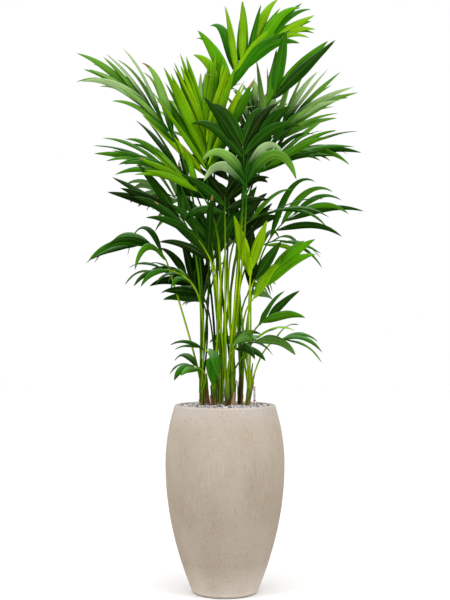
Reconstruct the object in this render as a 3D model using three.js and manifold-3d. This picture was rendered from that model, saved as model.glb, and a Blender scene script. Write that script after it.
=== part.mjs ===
// A kentia palm (Howea) in a tall round planter, as a group of named closed meshes.
//
// Millimetres, +Z up. The origin is the middle of the planter's flat underside. Seen from the
// front, +X is to the right and +Y to the back. The clump's stems stand on the potting mix and
// pass through a layer of gravel. Each frond is a node of its own: a long stalk from the top of
// its stem, a rib that bends over, and folded leaflets along both sides of the rib.

import * as THREE from "three";
import { mergeVertices } from "three/addons/utils/BufferGeometryUtils.js";
import Module from "manifold-3d";

const wasm = await Module();
wasm.setup();

// ---------------------------------------------------------------- driving dimensions

const GAP = 0.3; // between neighbouring pieces
const WELD = 1e-3; // vertices closer than this are one vertex

const PLANTER = {
  height: 682,
  footRadius: 118,
  bellyRadius: 217.5,
  bellyHeight: 465,
  rimRadius: 183,
  wall: 22,
  floor: 26,
  footFillet: 14,
  rimRounding: 8,
  mouthBevel: 5,
  sides: 40,
};
const MIX_TOP = 648; // level of the potting mix
const GRAVEL_TOP = 677;
const GRAVEL_CROWN = 3; // how much higher the gravel is in the middle

const GAUGE = { place: [110, 66], radius: 4, length: 97, bevel: 1.5, sides: 12 };

const STEM = { sides: 8, heights: [0, 0.1, 0.5, 1], shape: [1.15, 1, 1.05], topRadius: 9.6 };

const STALK = {
  sides: 5,
  petioleSteps: 6,
  ribSteps: 5,
  baseRadius: 3.4,
  neckRadius: 3.0,
  tipRadius: 1.6,
  swellAt: 1 / 3, // of the petiole
  swellHeights: [900, 1500], // of necks, where the petiole's swelling has these radii
  swellRadii: [3.0, 5.0],
  footClearance: 0.9, // between neighbouring stalks on a stem's top
  footReach: 0.12, // share of the petiole that goes straight up from the stem
  neckReach: 0.28, // share of it that follows the rib's direction
};

const LEAFLET = {
  steps: 12, // of the curve that its midrib follows
  sections: [4, 8], // the steps where the solid has a section
  shape: [1.0, 0.8], // share of the full width at those sections
  thickness: 0.012, // share of its length
  clearance: 0.5, // kept to other fronds
};

// How much leaflets of one frond differ: their place on the rib in steps from one to the next,
// shares of their spread, droop and length, and the middle and range of angles in degrees.
const VARIETY = { place: 0.3, spread: 0.18, droop: 0.6, length: 0.14, lift: [10, 20], twist: [12, 30] };

// Degrees by which a leaflet may be turned (sideways, up) to keep clear of its neighbours.
const TURNS = [
  [0, 0], [6, 0], [-6, 0], [0, 7], [0, -7], [12, 0], [-12, 0], [0, 14], [0, -14],
  [10, 12], [-10, 12], [10, -12], [-10, -12], [18, 0], [0, 22], [0, -22],
];
const SHORTENINGS = [1, 0.82];
const SWAYS = [0, 12, -12, 24, -24, 36, -36, 50, -50, 66, -66, 84, -84]; // sideways bows of a stalk

const TONES = { lime: 0x7fb11a, mid: 0x3f8412, pale: 0x6f9a58, deep: 0x1f5a0e, dark: 0x123f0c };

// A stem's foot and top, and its radius above the flare.
const STEMS = [
  { name: "stem_1", foot: [-82, -14], top: [-86, -18, 735], radius: 8 },
  { name: "stem_2", foot: [-60, 24], top: [-80, 26, 790], radius: 8.5 },
  { name: "stem_3", foot: [-38, -30], top: [-41, -36, 760], radius: 8.5 },
  { name: "stem_4", foot: [-14, 12], top: [-12, 16, 820], radius: 8.5 },
  { name: "stem_5", foot: [8, -48], top: [6, -54, 740], radius: 8 },
  { name: "stem_6", foot: [26, -12], top: [30, -14, 800], radius: 9 },
  { name: "stem_7", foot: [16, 48], top: [20, 56, 830], radius: 8.5 },
  { name: "stem_8", foot: [54, 20], top: [60, 24, 780], radius: 8.5 },
  { name: "stem_9", foot: [76, -22], top: [88, -28, 740], radius: 8 },
  { name: "stem_10", foot: [-28, 64], top: [-33, 72, 810], radius: 8.5 },
];

// One row for each frond.
//   stem     the stem it grows from
//   neck     where its leaflets begin
//   heading  compass direction of the rib in degrees: 0 is +X, 90 is +Y
//   rise     slope of the rib at the neck, and bend, by how much it has come down at the tip
//   rib      length of the rib
//   face     direction that the upper side looks in: compass direction and height, degrees
//   pairs    pairs of leaflets
//   leaf     length and width of the longest leaflet
//   spread   angle of the leaflets from the rib, at the neck and at the tip
//   droop    how far gravity bends them, at the neck and at the tip: 1 brings a level leaflet's
//            tip to 45 degrees
//   tone     colour
//   skew     by how much the left leaflets spread more and the right ones less, at the neck: 0
//            where it is left out
//   seed     of the small differences between leaflets: the row's number where it is left out
const FRONDS = [
  // the top of the crown
  { name: "frond_plume", stem: 7, neck: [2, 60, 1818], heading: 8, rise: 68, bend: 30, rib: 275,
    face: [-95, 14], pairs: 7, leaf: [264, 46], spread: [34, 9], droop: [0.75, 0.6],
    tone: "mid", skew: 26, seed: 6 },
  { name: "frond_lime_fan", stem: 4, neck: [-64, -10, 1500], heading: 120, rise: 88, bend: 8, rib: 210,
    face: [-90, 10], pairs: 8, leaf: [345, 35], spread: [36, 8], droop: [0.15, 0.1],
    tone: "lime", skew: 2, seed: 57 },
  { name: "frond_left_sweep", stem: 2, neck: [-172, -40, 1622], heading: 184, rise: 64, bend: 28, rib: 250,
    face: [-80, 40], pairs: 5, leaf: [300, 34], spread: [17, 7], droop: [0.6, 0.6],
    tone: "pale", skew: -2, seed: 7 },
  { name: "frond_front_star", stem: 5, neck: [67, -95, 1563], heading: 100, rise: 80, bend: 4, rib: 60,
    face: [-90, 20], pairs: 3, leaf: [235, 44], spread: [44, 14], droop: [0.8, 0.7],
    tone: "dark", skew: -10, seed: 3 },
  { name: "frond_star_arch", stem: 6, neck: [76, -130, 1451], heading: 90, rise: 84, bend: 6, rib: 60,
    face: [-90, 10], pairs: 2, leaf: [250, 40], spread: [40, 26], droop: [2.1, 2.0], tone: "pale", seed: 6 },
  { name: "frond_right_blades", stem: 8, neck: [146, 40, 1768], heading: 10, rise: 59, bend: 4, rib: 110,
    face: [-110, 20], pairs: 2, leaf: [286, 50], spread: [34, 12], droop: [0.1, 0.1], tone: "deep" },
  // the right side, from high to low
  { name: "frond_right_high", stem: 4, neck: [150, 110, 1630], heading: 12, rise: 64, bend: 30, rib: 190,
    face: [-90, 40], pairs: 6, leaf: [312, 27], spread: [34, 8], droop: [0.4, 0.4], tone: "pale", seed: 4 },
  { name: "frond_right_arch", stem: 9, neck: [110, -10, 1510], heading: -4, rise: 52, bend: 40, rib: 190,
    face: [-90, 50], pairs: 5, leaf: [272, 32], spread: [30, 8], droop: [0.6, 0.8], tone: "deep", skew: -8 },
  { name: "frond_right_mid", stem: 8, neck: [162, 40, 1285], heading: 8, rise: 58, bend: 30, rib: 170,
    face: [-90, 20], pairs: 3, leaf: [285, 27], spread: [30, 8], droop: [0.9, 0.9],
    tone: "deep", skew: -12, seed: 4 },
  { name: "frond_right_mid_front", stem: 6, neck: [80, -20, 1345], heading: -6, rise: 36, bend: 30, rib: 130,
    face: [-90, 60], pairs: 2, leaf: [250, 28], spread: [20, 10], droop: [0.6, 1.0], tone: "deep", skew: 6 },
  { name: "frond_right_thin", stem: 6, neck: [128, 90, 1262], heading: 16, rise: 36, bend: 50, rib: 130,
    face: [-90, 60], pairs: 3, leaf: [190, 22], spread: [40, 14], droop: [1.1, 1.1], tone: "mid" },
  { name: "frond_young_pair", stem: 9, neck: [90, -90, 1140], heading: 0, rise: 86, bend: 6, rib: 30,
    face: [-90, 10], pairs: 1, leaf: [228, 48], spread: [15, 7], droop: [0.3, 0.3], tone: "lime", skew: 9 },
  { name: "frond_right_diagonal", stem: 9, neck: [98, -10, 1062], heading: 2, rise: 56, bend: 8, rib: 150,
    face: [-90, 30], pairs: 2, leaf: [225, 44], spread: [10, 5], droop: [0.6, 0.6], tone: "mid" },
  { name: "frond_right_low", stem: 8, neck: [116, -10, 965], heading: -4, rise: 48, bend: 20, rib: 60,
    face: [-90, 50], pairs: 2, leaf: [185, 34], spread: [26, 10], droop: [0.6, 0.6], tone: "deep" },
  { name: "frond_right_lowest", stem: 9, neck: [165, -30, 905], heading: 0, rise: 36, bend: 40, rib: 60,
    face: [-90, 60], pairs: 2, leaf: [190, 24], spread: [30, 10], droop: [1.1, 1.1], tone: "deep" },
  { name: "frond_right_hanging", stem: 6, neck: [100, -80, 915], heading: -70, rise: 50, bend: 40, rib: 30,
    face: [-80, 70], pairs: 2, leaf: [165, 42], spread: [86, 20], droop: [1.3, 1.3], tone: "mid" },
  { name: "frond_front_low", stem: 5, neck: [28, -90, 880], heading: -20, rise: 50, bend: 40, rib: 30,
    face: [-80, 70], pairs: 2, leaf: [150, 34], spread: [60, 16], droop: [1.5, 1.5], tone: "dark" },
  // the left side, from high to low
  { name: "frond_left_high", stem: 2, neck: [-112, 40, 1462], heading: 178, rise: 58, bend: 42, rib: 205,
    face: [-90, 50], pairs: 5, leaf: [280, 32], spread: [32, 8], droop: [0.7, 0.6], tone: "deep", seed: 4 },
  { name: "frond_left_lime", stem: 3, neck: [-90, -50, 1450], heading: 170, rise: 46, bend: 10, rib: 90,
    face: [-90, 40], pairs: 4, leaf: [205, 26], spread: [34, 10], droop: [0.3, 0.3], tone: "lime" },
  { name: "frond_left_mid", stem: 1, neck: [-138, -40, 1330], heading: 180, rise: 64, bend: 44, rib: 110,
    face: [-90, 30], pairs: 3, leaf: [262, 40], spread: [26, 8], droop: [0.3, 0.15], tone: "dark" },
  { name: "frond_left_arch", stem: 1, neck: [-210, -20, 1198], heading: 180, rise: 72, bend: 86, rib: 150,
    face: [-90, 75], pairs: 4, leaf: [256, 27], spread: [24, 12], droop: [2.3, 1.2],
    tone: "deep", skew: 8, seed: 10 },
  { name: "frond_left_low_arch", stem: 1, neck: [-118, -50, 1120], heading: 182, rise: 52, bend: 66, rib: 160,
    face: [-90, 75], pairs: 4, leaf: [150, 24], spread: [44, 24], droop: [1.6, 1.6], tone: "deep", seed: 2 },
  { name: "frond_left_low", stem: 2, neck: [-80, 44, 1052], heading: 176, rise: 74, bend: 30, rib: 130,
    face: [-90, 20], pairs: 4, leaf: [170, 36], spread: [60, 14], droop: [0.6, 0.6],
    tone: "dark", skew: 12, seed: 6 },
  { name: "frond_left_lowest", stem: 1, neck: [-84, -62, 812], heading: 190, rise: 45, bend: 40, rib: 40,
    face: [-90, 60], pairs: 2, leaf: [130, 32], spread: [40, 16], droop: [1.6, 1.6], tone: "deep" },
  { name: "frond_left_tendril", stem: 3, neck: [-66, -44, 880], heading: 176, rise: 40, bend: 30, rib: 30,
    face: [-90, 60], pairs: 1, leaf: [140, 18], spread: [12, 6], droop: [1.2, 1.2], tone: "deep" },
  { name: "frond_front_hanging", stem: 3, neck: [-38, -84, 868], heading: -90, rise: 20, bend: 40, rib: 14,
    face: [-90, 60], pairs: 1, leaf: [170, 62], spread: [5, 3], droop: [5, 5], tone: "deep" },
  // the dark heart of the clump
  { name: "frond_heart_front", stem: 5, neck: [0, -80, 1370], heading: 90, rise: 82, bend: 8, rib: 70,
    face: [-90, 20], pairs: 3, leaf: [180, 36], spread: [78, 24], droop: [0.9, 0.9], tone: "dark" },
  { name: "frond_heart_left", stem: 3, neck: [-40, -48, 1190], heading: 110, rise: 78, bend: 10, rib: 120,
    face: [-90, 10], pairs: 4, leaf: [210, 42], spread: [44, 12], droop: [0.5, 0.5], tone: "dark" },
  { name: "frond_heart_right", stem: 6, neck: [40, 6, 1230], heading: 70, rise: 80, bend: 10, rib: 130,
    face: [-90, 10], pairs: 4, leaf: [210, 42], spread: [44, 12], droop: [0.5, 0.5], tone: "dark" },
  { name: "frond_heart_top", stem: 4, neck: [14, 20, 1430], heading: 90, rise: 84, bend: 8, rib: 130,
    face: [-90, 20], pairs: 4, leaf: [200, 46], spread: [72, 20], droop: [0.9, 0.5], tone: "dark", skew: 20 },
  { name: "frond_dark_blades", stem: 8, neck: [108, -60, 1590], heading: 14, rise: 74, bend: 6, rib: 40,
    face: [-90, 10], pairs: 1, leaf: [225, 66], spread: [8, 12], droop: [0.4, 0.9], tone: "dark" },
  // the back
  { name: "frond_back_top", stem: 10, neck: [-60, 130, 1600], heading: 118, rise: 68, bend: 26, rib: 250,
    face: [90, 40], pairs: 4, leaf: [300, 38], spread: [40, 10], droop: [0.6, 0.6], tone: "pale" },
  { name: "frond_back_right", stem: 7, neck: [84, 140, 1640], heading: 72, rise: 74, bend: 30, rib: 200,
    face: [90, 50], pairs: 4, leaf: [290, 38], spread: [34, 10], droop: [0.7, 0.7], tone: "pale" },
  { name: "frond_back_left", stem: 10, neck: [-120, 140, 1380], heading: 134, rise: 50, bend: 40, rib: 230,
    face: [90, 50], pairs: 4, leaf: [270, 36], spread: [44, 10], droop: [0.7, 0.7], tone: "deep" },
  { name: "frond_back_middle", stem: 4, neck: [0, 130, 1240], heading: 94, rise: 54, bend: 44, rib: 210,
    face: [90, 50], pairs: 4, leaf: [260, 38], spread: [46, 12], droop: [0.8, 0.8], tone: "dark" },
  { name: "frond_back_low_right", stem: 8, neck: [84, 110, 1085], heading: 64, rise: 56, bend: 46, rib: 150,
    face: [90, 50], pairs: 4, leaf: [200, 32], spread: [44, 12], droop: [0.9, 0.9], tone: "deep" },
  { name: "frond_back_low_left", stem: 10, neck: [-66, 120, 1040], heading: 118, rise: 58, bend: 46, rib: 150,
    face: [90, 50], pairs: 4, leaf: [200, 32], spread: [44, 12], droop: [0.9, 0.9], tone: "deep" },
  { name: "frond_back_lowest", stem: 7, neck: [20, 110, 900], heading: 84, rise: 44, bend: 40, rib: 60,
    face: [90, 60], pairs: 3, leaf: [150, 30], spread: [44, 14], droop: [1.2, 1.2], tone: "deep" },
  // in front
  { name: "frond_front_left", stem: 5, neck: [-50, -118, 1200], heading: -160, rise: 66, bend: 24, rib: 130,
    face: [-90, 40], pairs: 3, leaf: [215, 32], spread: [34, 12], droop: [0.5, 0.4], tone: "dark", seed: 7 },
  { name: "frond_front_right", stem: 9, neck: [91, -70, 1100], heading: -8, rise: 72, bend: 8, rib: 40,
    face: [-90, 20], pairs: 1, leaf: [235, 50], spread: [16, 8], droop: [0.3, 0.3], tone: "dark", seed: 1 },
];

// ---------------------------------------------------------------- solids and meshes

/** The closed solid that a geometry's triangles bound. */
function solidOf(geometry) {
  const bare = new THREE.BufferGeometry();
  bare.setAttribute("position", geometry.getAttribute("position"));
  bare.setIndex(geometry.index);
  const merged = mergeVertices(bare, WELD);
  return new wasm.Manifold(
    new wasm.Mesh({
      numProp: 3,
      vertProperties: merged.attributes.position.array,
      triVerts: new Uint32Array(merged.index.array),
    }),
  );
}

/** The solid of a placed mesh, where it stands. */
function placedSolidOf(mesh) {
  mesh.updateWorldMatrix(true, false);
  return solidOf(mesh.geometry.clone().applyMatrix4(mesh.matrixWorld));
}

/** The geometry of a solid's surface. */
function geometryOf(solid) {
  const mesh = solid.getMesh();
  const geometry = new THREE.BufferGeometry();
  geometry.setAttribute("position", new THREE.BufferAttribute(new Float32Array(mesh.vertProperties), 3));
  geometry.setIndex(new THREE.BufferAttribute(new Uint32Array(mesh.triVerts), 1));
  geometry.computeVertexNormals();
  return geometry;
}

function namedMesh(name, geometry, color, roughness) {
  const mesh = new THREE.Mesh(geometry, new THREE.MeshStandardMaterial({ color, roughness, metalness: 0 }));
  mesh.name = name;
  return mesh;
}

/** A closed surface through rings of equally many points, each ring going round the same way.
 *  The first and last ring may be a single point. */
function loft(rings) {
  const positions = rings.flat().flatMap((point) => [point.x, point.y, point.z]);
  const index = [];
  let start = 0;
  rings.slice(1).forEach((ring, i) => {
    const from = rings[i];
    const next = start + from.length;
    const count = Math.max(from.length, ring.length);
    for (let k = 0; k < count; k++) {
      const a = start + (k % from.length);
      const b = start + ((k + 1) % from.length);
      const c = next + (k % ring.length);
      const d = next + ((k + 1) % ring.length);
      if (a !== b) index.push(a, b, d);
      if (c !== d) index.push(a, d, c);
    }
    start = next;
  });
  for (let k = 1; k < rings[0].length - 1; k++) index.push(0, k + 1, k);
  for (let k = 1; k < rings.at(-1).length - 1; k++) index.push(start, start + k, start + k + 1);
  const geometry = new THREE.BufferGeometry();
  geometry.setAttribute("position", new THREE.Float32BufferAttribute(positions, 3));
  geometry.setIndex(index);
  return geometry;
}

/** A regular ring of points round a centre, from axis towards side. */
function ringOf(centre, axis, side, radius, sides) {
  return Array.from({ length: sides }, (_, k) => {
    const angle = (2 * Math.PI * k) / sides;
    return centre
      .clone()
      .addScaledVector(axis, radius * Math.cos(angle))
      .addScaledVector(side, radius * Math.sin(angle));
  });
}

// ---------------------------------------------------------------- planter, mix and gravel

/** Outer radius at a height: one parabola below the belly and one above it. */
function outerRadius(z) {
  const { footRadius, bellyRadius, bellyHeight, rimRadius, height } = PLANTER;
  if (z < bellyHeight) {
    return bellyRadius - (bellyRadius - footRadius) * ((bellyHeight - z) / bellyHeight) ** 2;
  }
  return bellyRadius - (bellyRadius - rimRadius) * ((z - bellyHeight) / (height - bellyHeight)) ** 2;
}

const innerRadius = (z) => outerRadius(z) - PLANTER.wall;

/** Heights from low to high that a profile has a point at. */
function levels(low, high, count) {
  return Array.from({ length: count + 1 }, (_, i) => low + ((high - low) * i) / count);
}

const INNER_LEVELS = [...levels(PLANTER.floor, MIX_TOP, 6), PLANTER.height - PLANTER.mouthBevel];

/** Points of a quarter circle round (x, y), from one angle to another in degrees. */
function arc(x, y, radius, from, to, steps) {
  return levels(from, to, steps).map((degrees) => {
    const angle = THREE.MathUtils.degToRad(degrees);
    return new THREE.Vector2(x + radius * Math.cos(angle), y + radius * Math.sin(angle));
  });
}

/** A solid of revolution about +Z from (radius, height) points. */
function turned(profile, sides) {
  return new THREE.LatheGeometry(profile, sides).rotateX(Math.PI / 2);
}

function planterGeometry() {
  const { height, footFillet, rimRounding, mouthBevel, bellyHeight, floor, sides } = PLANTER;
  const filletCentre = outerRadius(footFillet) - footFillet;
  const roundingLevel = height - rimRounding;
  const roundingCentre = outerRadius(roundingLevel) - rimRounding;
  const wallLevels = [
    ...levels(footFillet, bellyHeight, 7).slice(1),
    ...levels(bellyHeight, roundingLevel, 4).slice(1, -1),
  ];
  const profile = [
    new THREE.Vector2(0, 0),
    ...arc(filletCentre, footFillet, footFillet, -90, 0, 3),
    ...wallLevels.map((z) => new THREE.Vector2(outerRadius(z), z)),
    ...arc(roundingCentre, roundingLevel, rimRounding, 0, 90, 3),
    new THREE.Vector2(innerRadius(height) + mouthBevel, height),
    ...INNER_LEVELS.toReversed().map((z) => new THREE.Vector2(innerRadius(z), z)),
    new THREE.Vector2(0, floor),
  ];
  return turned(profile, sides);
}

function mixGeometry() {
  const wallLevels = INNER_LEVELS.slice(0, -1);
  const profile = [
    new THREE.Vector2(0, PLANTER.floor + GAP),
    ...wallLevels.map((z, i) => new THREE.Vector2(innerRadius(z) - GAP, i ? z : z + GAP)),
    new THREE.Vector2(0, MIX_TOP),
  ];
  return turned(profile, PLANTER.sides);
}

/** The gravel, with a hole round each piece that passes through it. */
function gravelGeometry(holes) {
  const radius = innerRadius(GRAVEL_TOP) - GAP;
  const profile = [
    new THREE.Vector2(0, MIX_TOP + GAP),
    new THREE.Vector2(radius, MIX_TOP + GAP),
    new THREE.Vector2(radius, GRAVEL_TOP - GRAVEL_CROWN),
    new THREE.Vector2(0.8 * radius, GRAVEL_TOP),
    new THREE.Vector2(0, GRAVEL_TOP + GRAVEL_CROWN),
  ];
  const layer = solidOf(turned(profile, PLANTER.sides));
  return geometryOf(holes.reduce((rest, hole) => rest.subtract(hole), layer));
}

/** The water gauge: a round tube with a bevelled end, from its foot on the mix. */
function gaugeGeometry(grow = 0) {
  const { radius, length, bevel, sides } = GAUGE;
  const profile = [
    new THREE.Vector2(0, -grow),
    new THREE.Vector2(radius + grow, -grow),
    new THREE.Vector2(radius + grow, length - bevel),
    new THREE.Vector2(radius - bevel + grow, length),
    new THREE.Vector2(0, length),
  ];
  return turned(profile, sides);
}

// ---------------------------------------------------------------- stems

/** Where a stem or the gauge stands on the mix. */
function onMix([x, y]) {
  return new THREE.Vector3(x, y, MIX_TOP + GAP);
}

/** A stem from its flat foot, flared there, to the flat top that its stalks stand on. */
function stemGeometry({ foot, top, radius }, grow = 0) {
  const rise = new THREE.Vector3(...top).sub(onMix(foot));
  const radii = [...STEM.shape.map((share) => share * radius), STEM.topRadius];
  const x = new THREE.Vector3(1, 0, 0);
  const y = new THREE.Vector3(0, 1, 0);
  return loft(
    STEM.heights.map((t, i) => ringOf(rise.clone().multiplyScalar(t), x, y, radii[i] + grow, STEM.sides)),
  );
}

// ---------------------------------------------------------------- fronds

const radians = THREE.MathUtils.degToRad;

/** A direction from a compass direction and a height in degrees. */
function direction(compass, height) {
  const level = Math.cos(radians(height));
  return new THREE.Vector3(
    level * Math.cos(radians(compass)),
    level * Math.sin(radians(compass)),
    Math.sin(radians(height)),
  );
}

/** The part of a vector that is square to a direction, as a unit vector. */
function squareTo(vector, along) {
  return vector.clone().addScaledVector(along, -vector.dot(along)).normalize();
}

/** A repeatable number between -1 and 1. */
function jitter(frond, leaflet, channel) {
  const wave = Math.sin(frond * 78.233 + leaflet * 12.9898 + channel * 37.719) * 43758.5453;
  return 2 * (wave - Math.floor(wave)) - 1;
}

/** Place, direction and upper side of a frond's rib at t, from 0 at the neck to 1 at the tip.
 *  The rib is an arc in the upright plane of its heading. */
function ribAt(frond, t) {
  const rise = radians(frond.rise);
  const bend = radians(frond.bend);
  const slope = rise - bend * t;
  const level = (frond.rib * (Math.sin(rise) - Math.sin(slope))) / bend;
  const up = (frond.rib * (Math.cos(slope) - Math.cos(rise))) / bend;
  const heading = radians(frond.heading);
  const place = new THREE.Vector3(
    frond.neck[0] + level * Math.cos(heading),
    frond.neck[1] + level * Math.sin(heading),
    frond.neck[2] + up,
  );
  const hinge = new THREE.Vector3(Math.sin(heading), -Math.cos(heading), 0);
  const start = direction(frond.heading, frond.rise);
  const upper = squareTo(direction(...frond.face), start);
  return {
    place,
    along: start.applyAxisAngle(hinge, -bend * t),
    upper: upper.applyAxisAngle(hinge, -bend * t),
  };
}

/** Where each frond's stalk stands on its stem's top: evenly round it, in the order of the
 *  directions that the fronds leave in. */
function stalkFeet() {
  const feet = new Map();
  STEMS.forEach((stem, s) => {
    const own = FRONDS.filter((frond) => frond.stem === s + 1);
    const [x, y, z] = stem.top;
    const bearing = (frond) => Math.atan2(frond.neck[1] - y, frond.neck[0] - x);
    own.sort((a, b) => bearing(a) - bearing(b));
    const middle = own.reduce((sum, frond) => sum + bearing(frond), 0) / own.length;
    const spacing = STALK.baseRadius + 0.5 * STALK.footClearance;
    const ring = own.length > 1 ? spacing / Math.sin(Math.PI / own.length) : 0;
    own.forEach((frond, k) => {
      const angle = middle + (2 * Math.PI * (k - 0.5 * (own.length - 1))) / own.length;
      const foot = new THREE.Vector3(x + ring * Math.cos(angle), y + ring * Math.sin(angle), z + GAP);
      feet.set(frond.name, foot);
    });
  });
  return feet;
}

const FEET = stalkFeet();

/** Radius of a petiole from 0 at its foot to 1 at the neck. Those of tall fronds swell more. */
function petioleRadius(frond, t) {
  const { lerp, inverseLerp, clamp } = THREE.MathUtils;
  const share = clamp(inverseLerp(...STALK.swellHeights, frond.neck[2]), 0, 1);
  const swell = lerp(...STALK.swellRadii, share);
  if (t < STALK.swellAt) return lerp(STALK.baseRadius, swell, t / STALK.swellAt);
  return lerp(swell, STALK.neckRadius, (t - STALK.swellAt) / (1 - STALK.swellAt));
}

/** Centres of a frond's stalk from its foot to the tip of the rib, with the radius at each. */
function stalkLine(frond, sway) {
  const foot = FEET.get(frond.name);
  const neck = ribAt(frond, 0);
  const length = foot.distanceTo(neck.place);
  const aside = new THREE.Vector3(neck.place.y - foot.y, foot.x - neck.place.x, 0).normalize();
  const curve = new THREE.CubicBezierCurve3(
    foot,
    foot.clone().add(new THREE.Vector3(0, 0, STALK.footReach * length)),
    neck.place.clone().addScaledVector(neck.along, -STALK.neckReach * length).addScaledVector(aside, sway),
    neck.place,
  );
  const stations = [];
  for (let i = 0; i < STALK.petioleSteps; i++) {
    const t = i / STALK.petioleSteps;
    const radius = petioleRadius(frond, t);
    stations.push({ place: curve.getPoint(t), along: curve.getTangent(t), radius });
  }
  for (let i = 0; i <= STALK.ribSteps; i++) {
    const t = i / STALK.ribSteps;
    const radius = THREE.MathUtils.lerp(STALK.neckRadius, STALK.tipRadius, t);
    stations.push({ ...ribAt(frond, t), radius });
  }
  return stations;
}

/** The stalk and rib as one tapering tube with a flat foot. */
function stalkGeometry(frond, sway, grow = 0) {
  let upper = direction(...frond.face);
  const rings = stalkLine(frond, sway).map(({ place, along, radius }) => {
    upper = squareTo(upper, along);
    const across = new THREE.Vector3().crossVectors(along, upper);
    return ringOf(place, upper, across, radius + grow, STALK.sides);
  });
  return loft(rings);
}

/** The leaflets of a frond: where each starts on the rib, its side, length and width. */
function leafletsOf(frond) {
  const { skew = 0, seed = FRONDS.indexOf(frond) + 1 } = frond;
  const { lerp, clamp } = THREE.MathUtils;
  const leaflets = [];
  for (let i = 0; i < frond.pairs; i++) {
    for (const side of [-1, 1]) {
      const order = 2 * i + (side > 0 ? 1 : 0);
      const differ = (channel) => jitter(seed, order, channel);
      const place = (order + VARIETY.place * differ(0)) / (2 * frond.pairs - 1);
      const t = lerp(0.04, 0.97, clamp(place, 0, 1));
      const swell = Math.sin(Math.PI * Math.min(1, 0.3 + 0.7 * t));
      const spread = lerp(...frond.spread, t ** 0.8) * (1 + VARIETY.spread * differ(1));
      leaflets.push({
        t,
        side,
        spread: spread - side * skew * (1 - t),
        lift: VARIETY.lift[0] + VARIETY.lift[1] * differ(2),
        twist: side * (VARIETY.twist[0] + VARIETY.twist[1] * differ(3)),
        droop: lerp(...frond.droop, t) * (1 + VARIETY.droop * differ(4)),
        length: frond.leaf[0] * (0.78 + 0.22 * swell) * (1 + VARIETY.length * differ(5)),
        width: frond.leaf[1] * (0.82 + 0.18 * swell),
      });
    }
  }
  return leaflets;
}

/** Places, directions and upper sides along a leaflet's midrib, root first. */
function midribOf(frond, leaflet, turn, shortening) {
  const { place, along, upper } = ribAt(frond, leaflet.t);
  const across = new THREE.Vector3().crossVectors(along, upper);
  const spread = radians(leaflet.spread + turn[0]);
  const lift = radians(leaflet.lift + turn[1]);
  const start = along
    .clone()
    .multiplyScalar(Math.cos(spread))
    .addScaledVector(across, leaflet.side * Math.sin(spread) * Math.cos(lift))
    .addScaledVector(upper, Math.sin(spread) * Math.sin(lift));
  const step = (leaflet.length * shortening) / LEAFLET.steps;
  let normal = squareTo(upper, start).applyAxisAngle(start, radians(leaflet.twist));
  const stations = [{ place: place.clone(), along: start, normal }];
  for (let k = 0; k < LEAFLET.steps; k++) {
    const share = (k + 0.5) / LEAFLET.steps;
    const heading = start.clone();
    heading.z -= leaflet.droop * share ** 1.7;
    heading.normalize();
    place.addScaledVector(heading, step);
    normal = squareTo(normal, heading);
    stations.push({ place: place.clone(), along: heading, normal });
  }
  return stations;
}

/** A leaflet as a thin closed blade, folded down along its midrib. */
function bladeGeometry(stations, length, width, grow = 0) {
  const thickness = LEAFLET.thickness * length;
  const rings = LEAFLET.sections.map((k, i) => {
    const { place, along, normal } = stations[k];
    const across = new THREE.Vector3().crossVectors(along, normal);
    const half = 0.5 * width * LEAFLET.shape[i] + grow;
    const edge = place.clone().addScaledVector(normal, -0.5 * thickness - grow);
    return [
      place.clone().addScaledVector(normal, 0.5 * thickness + grow),
      edge.clone().addScaledVector(across, half),
      edge.clone().addScaledVector(across, -half),
    ];
  });
  const tip = stations.at(-1);
  return loft([[stations[0].place], ...rings, [tip.place.clone().addScaledVector(tip.along, grow)]]);
}

/** Solids that are already in place, each with its box and the frond that it belongs to. */
class Placed {
  entries = [];

  add(owner, solid) {
    const { min, max } = solid.boundingBox();
    this.entries.push({ owner, solid, min, max });
  }

  /** Whether a solid keeps out of everything that belongs to others. */
  clears(owner, solid) {
    const { min, max } = solid.boundingBox();
    const apart = (other) => [0, 1, 2].some((k) => other.min[k] > max[k] || other.max[k] < min[k]);
    return this.entries.every((other) => {
      if (other.owner === owner || apart(other)) return true;
      const common = solid.intersect(other.solid);
      const empty = common.isEmpty();
      common.delete();
      return empty;
    });
  }
}

/** A frond's stalk, bowed aside where that keeps it clear of what stands already. */
function placeStalk(frond, placed) {
  for (const sway of SWAYS) {
    const grown = solidOf(stalkGeometry(frond, sway, LEAFLET.clearance));
    const clear = placed.clears(frond.name, grown);
    grown.delete();
    if (clear) {
      const solid = solidOf(stalkGeometry(frond, sway));
      placed.add(frond.name, solid);
      return solid;
    }
  }
  throw new Error(`${frond.name}: its stalk finds no clear way`);
}

/** A leaflet turned or shortened to keep clear of other fronds, or null where none fits. */
function placeLeaflet(frond, leaflet, placed) {
  for (const shortening of SHORTENINGS) {
    for (const turn of TURNS) {
      const midrib = midribOf(frond, leaflet, turn, shortening);
      const length = leaflet.length * shortening;
      const grown = solidOf(bladeGeometry(midrib, length, leaflet.width, LEAFLET.clearance));
      const clear = placed.clears(frond.name, grown);
      grown.delete();
      if (clear) {
        const solid = solidOf(bladeGeometry(midrib, length, leaflet.width));
        placed.add(frond.name, solid);
        return solid;
      }
    }
  }
  return null;
}

/** Every frond as one solid. All stalks are placed before the first leaflet. */
function frondSolids(placed) {
  const stalks = FRONDS.map((frond) => placeStalk(frond, placed));
  return FRONDS.map((frond, i) => {
    const leaflets = leafletsOf(frond)
      .map((leaflet) => placeLeaflet(frond, leaflet, placed))
      .filter((solid) => solid !== null);
    return wasm.Manifold.union([stalks[i], ...leaflets]);
  });
}

// ---------------------------------------------------------------- the plant and its planter

/** A mesh that stands on the mix. */
function standing(name, geometry, place, color, roughness) {
  const mesh = namedMesh(name, geometry, color, roughness);
  mesh.position.copy(onMix(place));
  return mesh;
}

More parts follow.
